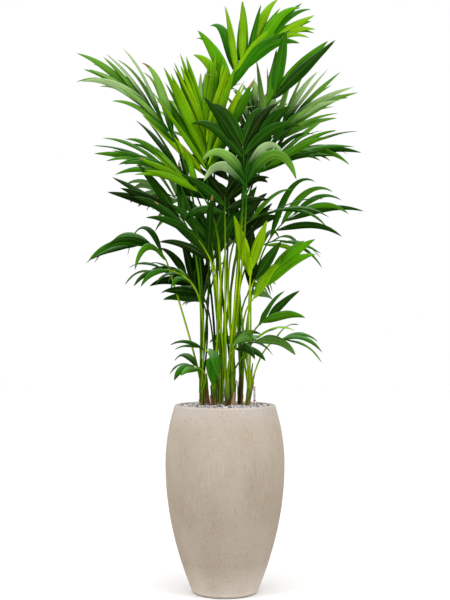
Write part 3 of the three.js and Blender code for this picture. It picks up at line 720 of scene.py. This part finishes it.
def has_room(frond, stations):
    """Whether a leaflet's midrib keeps clear of the other fronds' solids."""
    def within(reach, surface, station):
        return surface.find_nearest(station.place * MM, reach)[0] is not None

    middle = stations[len(stations) // 2]
    others = [surface for name, surface in SURFACES.items() if name != frond.name]
    near = [surface for surface in others if within(NEAR, surface, middle)]
    return not any(within(CLEARANCE, surface, station) for surface in near for station in stations)


# ---- fine leaflets

BLADE_STEPS = 18
BLADE_COLUMNS = np.array([-1.0, -0.6, -0.16, 0.0, 0.16, 0.6, 1.0])
BLADE_ACROSS = [*(0.5 + 0.5 * BLADE_COLUMNS[::-1]), *(0.5 + 0.5 * BLADE_COLUMNS), 1.0]
BLADE_THICKNESS = (0.9, 0.4)  # at the midrib and at the edge
BLADE_ARCH = 0.14  # of each half across, as a share of its width
WAVE, WAVES = 0.1, 1.7  # of the edge: their height, as that share, and their number
FOLD = (50, 15)  # degrees that each half hangs down, at the root and further out
FOLD_AT_TIP = 8  # degrees more
FILLERS_FROM = 4  # pairs that a frond has before narrower leaflets grow beside its own
FILLERS_BEND = 60  # and it bends less than this
FILLER_ORDER = 1.02  # after a leaflet's: close to the next one, and on that one's side
FILLER_WIDTH, FILLER_LENGTH = 0.6, 0.91  # shares of the others'
DRY_SHARE = 0.035  # of leaflets with a dry tip


def blade(shapes, stations, width, seed, upper_slot):
    """A leaflet: folded at its root, opening to a pointed, slightly wavy blade."""
    side = np.abs(BLADE_COLUMNS)
    half_thickness = 0.5 * lerp(*BLADE_THICKNESS, side)
    rings = []
    for k in range(1, len(stations) - 1):
        s = k / (len(stations) - 1)
        place, along, normal = stations[k]
        across = np.cross(along, normal)
        half = 0.5 * width * sin(pi * s**0.75) ** 0.75
        fold = radians(lerp(*FOLD, smooth(s / 0.3)) + FOLD_AT_TIP * smooth((s - 0.7) / 0.3))
        wave = WAVE * sin(2 * pi * (WAVES * s + seed)) * np.sign(BLADE_COLUMNS)
        out = half * BLADE_COLUMNS * cos(fold)
        up = half * (BLADE_ARCH * np.sin(pi * side) - side * sin(fold) + side * side * wave)
        middle = place + np.outer(out, across) + np.outer(up, normal)
        thick = np.outer(half_thickness, normal)
        rings.append(np.vstack([(middle - thick)[::-1], middle + thick]))
    last = len(BLADE_COLUMNS) - 1
    dry_from = len(rings) - 1 if seed < DRY_SHARE else len(rings) + 2

    def slot_of(ring, point):
        if ring >= dry_from:
            return DRY_TIP
        return UNDER if point < last else upper_slot

    shapes.loft(stations[0].place, np.array(rings), stations[-1].place, slot_of, BLADE_ACROSS)


def make_leaves(frond, tree):
    """A frond's leaflets, and narrower ones beside them where it has many and bends little."""
    shapes = Shapes(rows=3)

    def grow(order, leaflet, stations):
        seed, tint = (0.5 + 0.5 * jitter(seed_of(frond), order, channel) for channel in (6, 7))
        blade(shapes, stations, leaflet.width, seed, int(3 * min(tint, 0.99)))

    for order in range(2 * frond.pairs):
        leaflet = leaflet_at(frond, order)
        growth = growth_taken(frond, leaflet, tree)
        if growth:
            grow(order, leaflet, midrib_of(frond, leaflet, *growth, BLADE_STEPS))
    if frond.pairs >= FILLERS_FROM and frond.bend < FILLERS_BEND:
        for k in range(2 * frond.pairs - 2):
            order = k + FILLER_ORDER
            leaflet = leaflet_at(frond, order)
            stations = midrib_of(frond, leaflet, TURNS[0], FILLER_LENGTH, BLADE_STEPS)
            if has_room(frond, stations):
                grow(order, leaflet._replace(width=FILLER_WIDTH * leaflet.width), stations)
    piece = shapes.build(f"leaves_{frond.name}", [*LEAF_MATERIALS[frond.tone], DRY])
    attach(piece, "root")
    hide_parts(f"frond_{frond.name}")


# ---- fine stalks

STALK_SIDES = 10
FINE_PETIOLE_STEPS = 20
FINE_RIB_STEPS = 12
GROOVE, GROOVE_ANGLE = 0.28, 0.5  # its depth, as a share of the radius, and its width in radians
SHADED_BEHIND = 60  # how far behind the clump's middle all its stalks get the deepest green, as painted shade


def make_stalk(frond, tree):
    """A frond's petiole and rib as one tube, with a groove along its upper side."""
    shapes = Shapes(rows=1)
    stations = petiole(frond, sway_taken(frond, tree), FINE_PETIOLE_STEPS)
    radii = [petiole_radius(frond, i / FINE_PETIOLE_STEPS) for i in range(FINE_PETIOLE_STEPS)]
    for i in range(FINE_RIB_STEPS + 1):
        t = i / FINE_RIB_STEPS
        stations.append(rib_at(frond, t)[:2])
        radii.append(lerp(STALK_NECK, STALK_TIP, t))
    upper = direction(*frond.face)
    angles = np.linspace(0, 2 * pi, STALK_SIDES, endpoint=False)
    from_groove = np.minimum(angles, 2 * pi - angles)
    section = 1 - GROOVE * np.exp(-((from_groove / GROOVE_ANGLE) ** 2))
    rings = []
    for (place, along), radius in zip(stations, radii):
        upper = square_to(upper, along)
        across = np.cross(along, upper)
        out = np.outer(np.cos(angles), upper) + np.outer(np.sin(angles), across)
        rings.append(place + radius * section[:, None] * out)
    tip = stations[-1][0] + 2 * stations[-1][1]
    shapes.loft(stations[0][0], np.array(rings), tip)
    # painted shade: stalks further behind the clump's middle get darker copies of the stalk paint, with some
    # random spread
    place = FEET[frond.name][1] / SHADED_BEHIND + 0.5 * jitter(FRONDS.index(frond) + 1, 0, 8)
    shade = int(np.clip(1.3 + 1.6 * place, 0, 2))
    piece = shapes.build(f"stalk_{frond.name}", [STALK_MATERIALS[shade]])
    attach(piece, "root")
    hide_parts(f"frond_{frond.name}")


def make_fronds():
    for frond in FRONDS:
        tree = tree_of(f"frond_{frond.name}")
        make_leaves(frond, tree)
        make_stalk(frond, tree)


make_fronds()

# ---- stems and their sheaths

STEM_SIDES = 20
STEM_LEVELS = 26
STEM_POINT = 95  # how far the young sheath reaches up between the stalks
STEM_POINT_RADIUS = 1.5
SCAR_HEIGHT, SCAR_SPACING = 0.5, 27
SCAR_WIDTH = 0.07  # of their spacing
SHEATHS_PER_STEM = 3
SHEATH_FOOT = 12  # height above the mix
SHEATH_LENGTHS = (40, 150)
SHEATH_WIDTHS = (6, 15)
SHEATH_PEELS = (2, 9)  # how far the tip stands off
SHEATH_STEPS = 12
SHEATH_COLUMNS = np.array([-1.0, -0.5, 0.0, 0.5, 1.0])
SHEATH_ACROSS = [*(0.5 + 0.5 * SHEATH_COLUMNS), *(0.5 + 0.5 * SHEATH_COLUMNS[::-1]), 0.0]
SHEATH_HALF_THICKNESS = 0.45


def stem_paint():
    """A stem: streaked green, darker and browner towards the ground, with ring scars."""
    paint = Paint("stem_green", 0.5, 0.15)
    place = paint.object_place()
    streaks = paint.noise(place, (260.0, 260.0, 5.0), 3.0)
    greens = [(0.36, srgb(22, 54, 2)), (0.5, srgb(72, 116, 4)), (0.66, srgb(132, 166, 12))]
    green = paint.ramp(streaks, greens)
    above_mix = paint.math("SUBTRACT", paint.height_of(place), MIX_TOP * MM)
    blotches = paint.noise(place, (60.0, 60.0, 22.0), 4.0)
    low = paint.ramp(paint.math("MULTIPLY", above_mix, 10.0), [(0.0, WHITE), (0.9, BLACK)])
    brown = paint.math("MULTIPLY", low, paint.ramp(blotches, [(0.44, BLACK), (0.56, WHITE)]))
    green = paint.mix(brown, green, srgb(124, 76, 44))
    specks = paint.noise(place, 190.0, 1.0)
    green = paint.layer(green, specks, (0.68, 0.74), 0.8, srgb(84, 50, 26))
    return paint.finished(green, streaks, 0.001, 0.5)


STEM_GREEN = stem_paint()


def sheath_paint(name, dark, light):
    """A dead leaf sheath: papery and fibrous."""
    paint = Paint(name, 0.8, 0.2)
    fibres = paint.noise(paint.shape_map(), (40.0, 1.6, 1.0), 4.0)
    return paint.finished(paint.ramp(fibres, [(0.34, dark), (0.66, light)]), fibres, 0.001, 0.7)


def stem_axis(stem, height):
    """Centre of a stem at a height above the mix, straight on beyond its top."""
    foot = np.array([*stem.foot, MIX_TOP + GAP])
    return foot + (np.array(stem.top) - foot) * height / (stem.top[2] - foot[2])


def stem_height(stem):
    return stem.top[2] - MIX_TOP - GAP


def stem_radius(stem, height):
    radii = [*(share * stem.radius for share in STEM_SHAPE), STEM_TOP_RADIUS]
    return np.interp(height / stem_height(stem), STEM_HEIGHTS, radii)


def make_stem(number, stem):
    """A stem whose top is drawn out into the young sheath that its stalks come out of."""
    shapes = Shapes(rows=1)
    tall = stem_height(stem)
    angles = np.linspace(0, 2 * pi, STEM_SIDES, endpoint=False)
    rings = []
    for i in range(STEM_LEVELS + 1):
        t = i / STEM_LEVELS
        height = (tall + STEM_POINT) * t
        if height <= tall:
            radius = stem_radius(stem, height)
        else:
            radius = lerp(STEM_TOP_RADIUS, STEM_POINT_RADIUS, ((height - tall) / STEM_POINT) ** 0.8)
        off_scar = (height / SCAR_SPACING + 0.31 * number) % 1 - 0.5
        scar = SCAR_HEIGHT * exp(-(off_scar / SCAR_WIDTH) ** 2)
        ribs = 0.35 * np.sin(3 * angles + number) + 0.25 * np.sin(7 * angles + 0.03 * height)
        radii = radius + scar + ribs * min(1, radius / 6)
        rings.append(stem_axis(stem, height) + ring_of(radii, angles, 0))
    tip = stem_axis(stem, tall + STEM_POINT + 3)
    shapes.loft(stem_axis(stem, 0), np.array(rings), tip)
    piece = shapes.build(f"stem_base_{number}", [STEM_GREEN])
    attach(piece, "root")
    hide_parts(f"stem_{number}")


def sheath_strip(shapes, stem, seed, slot):
    """A torn strip of an old sheath: it clings to its stem and peels away at its tip."""
    turn, high, wide, peel = (0.5 + 0.5 * jitter(seed, k, 9) for k in range(4))
    length = lerp(*SHEATH_LENGTHS, high**1.4)
    width = lerp(*SHEATH_WIDTHS, wide)
    rings = []
    for i in range(1, SHEATH_STEPS):
        t = i / SHEATH_STEPS
        height = SHEATH_FOOT + length * t
        radius = stem_radius(stem, min(height, stem_height(stem))) + 1.0 + lerp(*SHEATH_PEELS, peel) * t**2.6
        torn = 1 + 0.22 * sin(9 * t + 6 * turn) + 0.2 * jitter(seed, i + 5, 9) * t
        half = 0.5 * width * (1 - t**4) ** 0.6 * torn + 0.4
        bend = 2 * pi * turn + 0.5 * t * jitter(seed, 4, 9)
        turns = bend + SHEATH_COLUMNS * half / max(radius, 6)
        curl = radius + 1.2 * t * SHEATH_COLUMNS**2 * half / 3
        outer, inner = (
            ring_of(r, turns, 2.2 * SHEATH_COLUMNS * t)
            for r in (curl + SHEATH_HALF_THICKNESS, curl - SHEATH_HALF_THICKNESS)
        )
        rings.append(stem_axis(stem, height) + np.vstack([outer, inner[::-1]]))
    root = rings[0].mean(axis=0) - (0, 0, 3)
    tip = rings[-1].mean(axis=0) + (0, 0, 2)
    shapes.loft(root, np.array(rings), tip, lambda ring, point: slot, SHEATH_ACROSS)


def make_sheaths():
    shapes = Shapes(rows=3)
    for number, stem in enumerate(STEMS, 1):
        for k in range(SHEATHS_PER_STEM):
            sheath_strip(shapes, stem, 10 * number + k, k)
    piece = shapes.build("old_sheaths", [
        sheath_paint("sheath_brown", srgb(92, 52, 30), srgb(172, 116, 78)),
        sheath_paint("sheath_dark", srgb(46, 24, 16), srgb(116, 70, 46)),
        sheath_paint("sheath_pale", srgb(146, 104, 76), srgb(214, 176, 148)),
    ])
    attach(piece, "root")


for number, stem in enumerate(STEMS, 1):
    make_stem(number, stem)
make_sheaths()

# ---- planter

PLANTER_SIDES = 160


def outer_radius(z):
    """Outer radius at a height: one parabola below the belly and one above it."""
    if z < BELLY_HEIGHT:
        end, share = FOOT_RADIUS, (BELLY_HEIGHT - z) / BELLY_HEIGHT
    else:
        end, share = RIM_RADIUS, (z - BELLY_HEIGHT) / (PLANTER_HEIGHT - BELLY_HEIGHT)
    return BELLY_RADIUS - (BELLY_RADIUS - end) * share**2


def arc(x, y, radius, start, end, steps):
    """Points of a circle round (x, y), from one angle to another in degrees."""
    angles = np.radians(np.linspace(start, end, steps + 1))
    return [(x + radius * cos(a), y + radius * sin(a)) for a in angles]


def turned(shapes, profile, sides, slot=0):
    """A solid of revolution about +Z. The profile's first and last points are on the axis."""
    angles = np.linspace(0, 2 * pi, sides, endpoint=False)
    rings = np.array([ring_of(radius, angles, z) for radius, z in profile[1:-1]])
    ends = [np.array([0.0, 0.0, z]) for _, z in (profile[0], profile[-1])]
    shapes.loft(ends[0], rings, ends[1], lambda ring, point: slot)


CEMENT = [(0.36, srgb(198, 183, 165)), (0.52, srgb(205, 192, 175)), (0.66, srgb(208, 197, 182))]
# painted light and shade by height: much paler at the foot as painted bounce light from the floor, darker
# over the body as painted shade, and paler and cooler at the rim as painted light from above; heights in
# metres, and shares of the colour
PAINTED_PLANTER_LIGHT = [
    (0.01, (1.41, 1.43, 1.49, 1.0)),
    (0.12, (0.9, 0.87, 0.84, 1.0)),
    (0.3, (0.79, 0.77, 0.74, 1.0)),
    (0.6, (0.8, 0.79, 0.78, 1.0)),
    (0.68, (0.88, 0.91, 0.99, 1.0)),
]


def planter_paint():
    """Matte cement with fine grain and short upright streaks, some dark, some light, under painted light and
    shade that change with height.
    """
    paint = Paint("planter_cement", 0.88, 0.25)
    place = paint.object_place()
    wide = paint.noise(place, (7.0, 7.0, 4.0), 3.0)
    streaks = paint.noise(place, (260.0, 260.0, 20.0), 3.0)
    weft = paint.noise(place, (22.0, 22.0, 420.0))
    grain = paint.noise(place, 700.0)
    colour = paint.ramp(wide, CEMENT)
    colour = paint.layer(colour, streaks, (0.38, 0.29), 0.45, srgb(150, 128, 104))
    colour = paint.layer(colour, streaks, (0.6, 0.7), 0.5, srgb(228, 220, 208))
    colour = paint.layer(colour, weft, (0.6, 0.72), 0.3, srgb(168, 150, 128))
    colour = paint.layer(colour, grain, (0.45, 0.3), 0.35, srgb(160, 142, 122))
    # painted light and shade: the cement's colour times a share that changes with height
    painted_light = paint.ramp(paint.height_of(place), PAINTED_PLANTER_LIGHT)
    colour = paint.mix(1.0, colour, painted_light, blend="MULTIPLY")
    relief = paint.math("ADD", streaks, paint.math("MULTIPLY", grain, 0.6))
    return paint.finished(colour, relief, 0.0012, 0.5)


def make_planter():
    shapes = Shapes(rows=1)
    fillet_centre = outer_radius(FOOT_FILLET) - FOOT_FILLET
    rounding = PLANTER_HEIGHT - RIM_ROUNDING
    rounding_centre = outer_radius(rounding) - RIM_ROUNDING
    inner = [(outer_radius(z) - WALL, z) for z in np.linspace(PLANTER_HEIGHT - MOUTH_BEVEL, FLOOR, 30)]
    mouth = arc(inner[0][0] + MOUTH_BEVEL, inner[0][1], MOUTH_BEVEL, 90, 180, 5)
    profile = [
        (0, 0),
        *arc(fillet_centre, FOOT_FILLET, FOOT_FILLET, -90, 0, 8),
        *((outer_radius(z), z) for z in np.linspace(FOOT_FILLET, rounding, 60)[1:-1]),
        *arc(rounding_centre, rounding, RIM_ROUNDING, 0, 90, 8),
        *mouth[:-1],
        *inner,
        (0, FLOOR),
    ]
    turned(shapes, profile, PLANTER_SIDES)
    piece = shapes.build("planter_shell", [planter_paint()])
    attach(piece, "root")
    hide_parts("planter")


make_planter()

# ---- earth and pebbles

PEBBLE_SPACING = 6.9
PEBBLE_ROWS = 0.866  # distance of their rows, in spacings
PEBBLE_SHIFT = 1.6
PEBBLE_LIFT = (-0.6, 2.4)
PEBBLE_MARGIN = 4.5  # to the planter's wall
PEBBLE_SIZES = (2.6, 4.8)  # half widths
PEBBLE_STRETCH = (0.75, 1.15)
PEBBLE_FLATNESS = 0.72
PEBBLE_LUMPS = 0.16
PEBBLE_COLOURS = [
    srgb(236, 234, 232), srgb(206, 202, 206), srgb(176, 168, 172), srgb(150, 128, 112),
    srgb(92, 74, 72), srgb(62, 50, 54),
]
PEBBLE_SHARES = (0.33, 0.2, 0.13, 0.08, 0.14, 0.12)
BLOCKED = [(*stem.foot, stem.radius + 2.0) for stem in STEMS] + [(*GAUGE_PLACE, GAUGE_RADIUS + 2.0)]
EARTH_BROWNS = [(0.35, srgb(30, 20, 15)), (0.65, srgb(78, 56, 42))]
BED_GREYS = [(0.2, srgb(60, 50, 52)), (0.5, srgb(140, 130, 128)), (0.85, srgb(206, 202, 200))]


def pebble_bed_paint():
    """What shows between the pebbles: more of them, in shade."""
    paint = Paint("pebble_bed", 0.85, 0.2)
    cells = paint.node("ShaderNodeTexVoronoi", {"Vector": paint.object_place(), "Scale": 170.0})
    tint = paint.node("ShaderNodeSeparateColor", {"Color": cells.outputs["Color"]}).outputs["Red"]
    return paint.finished(paint.ramp(tint, BED_GREYS), cells.outputs["Distance"], 0.002, 0.8)


def icosphere():
    mesh = bmesh.new()
    bmesh.ops.create_icosphere(mesh, subdivisions=2, radius=1.0)
    points = np.array([v.co[:] for v in mesh.verts])
    faces = np.array([[v.index for v in f.verts] for f in mesh.faces])
    mesh.free()
    return points, faces


def make_pebbles():
    """Pebbles packed loosely over the gravel, as one mesh, in colours dealt at random."""
    rng = np.random.default_rng(41)
    points, faces = icosphere()
    reach = outer_radius(GRAVEL_TOP) - WALL - PEBBLE_MARGIN
    count = int(2 * reach / PEBBLE_SPACING) + 2
    centres = []
    for i in range(-count, count):
        for j in range(-count, count):
            x = PEBBLE_SPACING * (i + 0.5 * (j % 2)) + rng.uniform(-PEBBLE_SHIFT, PEBBLE_SHIFT)
            y = PEBBLE_SPACING * PEBBLE_ROWS * j + rng.uniform(-PEBBLE_SHIFT, PEBBLE_SHIFT)
            free = all(hypot(x - sx, y - sy) > r for sx, sy, r in BLOCKED)
            if hypot(x, y) < reach and free:
                z = GRAVEL_TOP + GRAVEL_CROWN * (1 - hypot(x, y) / reach)
                centres.append((x, y, z + rng.uniform(*PEBBLE_LIFT)))
    total = len(centres)
    half = rng.uniform(*PEBBLE_SIZES, size=(total, 1)) * rng.uniform(*PEBBLE_STRETCH, size=(total, 3))
    half[:, 2] *= PEBBLE_FLATNESS
    turns = rng.uniform(0, 2 * pi, total)
    lumps = 1 + PEBBLE_LUMPS * rng.standard_normal((total, len(points)))
    shape = points[None] * lumps[:, :, None] * half[:, None, :]
    c, s = np.cos(turns)[:, None], np.sin(turns)[:, None]
    x, y = shape[..., 0] * c - shape[..., 1] * s, shape[..., 0] * s + shape[..., 1] * c
    placed = np.stack([x, y, shape[..., 2]], axis=-1) + np.array(centres)[:, None]
    all_faces = faces[None] + np.arange(total)[:, None, None] * len(points)
    mesh = bpy.data.meshes.new("pebbles")
    mesh.from_pydata((placed.reshape(-1, 3) * MM).tolist(), [], all_faces.reshape(-1, 3).tolist())
    for k, colour in enumerate(PEBBLE_COLOURS):
        stops = [(0.35, darker(colour, 0.7)), (0.62, colour)]
        mesh.materials.append(mottled_paint(f"pebble_{k}", (0.6, 0.35), (420.0, 3.0), stops))
    colours = rng.choice(len(PEBBLE_COLOURS), total, p=PEBBLE_SHARES)
    mesh.polygons.foreach_set("material_index", np.repeat(colours, len(faces)))
    mesh.shade_smooth()
    # "OFBake": a cell for each pebble, its upper faces beside its lower ones
    side = ceil(sqrt(total))
    upper = points[faces].mean(axis=1)[:, 2] > 0
    flat = 0.5 + 0.46 * points[faces][..., :2]
    flat[..., 0] = 0.5 * (flat[..., 0] + np.where(upper, 0, 1)[:, None])
    cells = np.stack([np.arange(total) % side, np.arange(total) // side], axis=-1)
    baked = (flat[None] + cells[:, None, None]) / side
    mesh.uv_layers.new(name="OFBake").data.foreach_set("uv", baked.ravel())
    piece = linked("pebbles", mesh)
    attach(piece, "root")


make_pebbles()


def paint_node(node, material):
    """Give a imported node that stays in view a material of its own."""
    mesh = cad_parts[node].data
    mesh.materials.clear()
    mesh.materials.append(material)


EARTH = mottled_paint("potting_earth", (0.95, 0.15), (240.0, 4.0), EARTH_BROWNS, (0.003, 0.8))
paint_node("potting_mix", EARTH)
paint_node("gravel_layer", pebble_bed_paint())

# ---- water gauge

GAUGE_SIDES = 28
GAUGE_CAP = 12
GAUGE_BEAD, GAUGE_MARK = 0.35, 0.25  # how far the cap and the marks stand out
TUBE, YELLOW, RED = 0, 1, 2  # places of its materials
GAUGE_MARKS = [(733, YELLOW), (712, YELLOW), (692, RED)]


def plastic_paint(name, colour, roughness):
    stops = [(0.4, darker(colour, 0.88)), (0.6, colour)]
    return mottled_paint(name, (roughness, 0.5), (260.0,), stops)


def make_gauge():
    """The gauge's tube with a domed cap and coloured rings."""
    shapes = Shapes(rows=2)
    low, high = MIX_TOP + GAP, MIX_TOP + GAP + GAUGE_LENGTH
    r, cap, mark = GAUGE_RADIUS, GAUGE_RADIUS + GAUGE_BEAD, GAUGE_RADIUS + GAUGE_MARK
    foot = high - GAUGE_CAP
    turned(shapes, [
        (0, low), (r, low), (r, low + 0.6), (r, foot - 0.6), (r, foot), (cap, foot + 0.4),
        (cap, foot + 1), (cap, high - 3), *arc(cap - 2, high - 2, 2, 0, 90, 4)[1:], (0, high),
    ], GAUGE_SIDES, TUBE)
    for z, slot in GAUGE_MARKS:
        turned(shapes, [(0, z - 2), (mark, z - 1.8), (mark, z + 1.8), (0, z + 2)], GAUGE_SIDES, slot)
    piece = shapes.build("level_gauge", [
        plastic_paint("gauge_tube", srgb(242, 240, 246), 0.5),
        plastic_paint("gauge_yellow", srgb(236, 206, 84), 0.4),
        plastic_paint("gauge_red", srgb(206, 62, 44), 0.4),
    ])
    piece.data.transform(Matrix.Translation((GAUGE_PLACE[0] * MM, GAUGE_PLACE[1] * MM, 0)))
    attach(piece, "root")
    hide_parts("water_gauge")


make_gauge()

# ---- floor, light and finish

FLOOR_REACH = 12.0
FLOOR_SEEN, FLOOR_BOUNCE = grey(0.84), grey(0.45)  # its colour to the camera and to other light
SKY = [(0.0, grey(0.12)), (0.55, grey(0.4)), (1.0, grey(2.6))]  # from the horizon up
LIGHTS = {"left_light": (-2.8, -2.2, 2.6), "right_light": (2.8, -2.2, 2.6)}
LIGHT_TARGET = (0, 0, 1.1)
LIGHT_SIZE, LIGHT_POWER = 1.6, 75


def make_floor():
    mesh = bpy.data.meshes.new("floor")
    corners = [(FLOOR_REACH * x, FLOOR_REACH * y, 0) for x, y in ((-1, -1), (1, -1), (1, 1), (-1, 1))]
    mesh.from_pydata(corners, [], [(0, 1, 2, 3)])
    paint = Paint("pale_floor", 0.9, 0.0)
    seen = paint.node("ShaderNodeLightPath").outputs["Is Camera Ray"]
    mesh.materials.append(paint.finished(paint.mix(seen, FLOOR_BOUNCE, FLOOR_SEEN)))
    floor = linked("floor", mesh)


def make_world():
    """A white backdrop for the camera, and light that comes mostly from above."""
    world = bpy.data.worlds.new("studio")
    world.use_nodes = True
    nodes, link = world.node_tree.nodes, world.node_tree.links.new
    lighting = nodes["Background"]
    height = nodes.new("ShaderNodeSeparateXYZ")
    link(nodes.new("ShaderNodeTexCoord").outputs["Generated"], height.inputs["Vector"])
    brightness = nodes.new("ShaderNodeValToRGB")
    set_stops(brightness, SKY)
    link(height.outputs["Z"], brightness.inputs["Fac"])
    link(brightness.outputs["Color"], lighting.inputs["Color"])
    backdrop = nodes.new("ShaderNodeBackground")
    backdrop.inputs["Color"].default_value = WHITE
    seen = nodes.new("ShaderNodeMixShader")
    link(nodes.new("ShaderNodeLightPath").outputs["Is Camera Ray"], seen.inputs["Fac"])
    link(lighting.outputs["Background"], seen.inputs[1])
    link(backdrop.outputs["Background"], seen.inputs[2])
    link(seen.outputs["Shader"], nodes["World Output"].inputs["Surface"])
    bpy.context.scene.world = world
    bpy.context.scene.view_settings.view_transform = "Standard"


def area_light(name, place):
    data = bpy.data.lights.new(name, "AREA")
    data.shape = "SQUARE"
    data.size = LIGHT_SIZE
    data.energy = LIGHT_POWER
    light = linked(name, data)
    light.location = place
    way = unit(np.array(LIGHT_TARGET) - np.array(place))
    light.rotation_euler = (acos(-way[2]), 0, atan2(way[1], way[0]) - pi / 2)


make_floor()
make_world()
for name, place in LIGHTS.items():
    area_light(name, place)
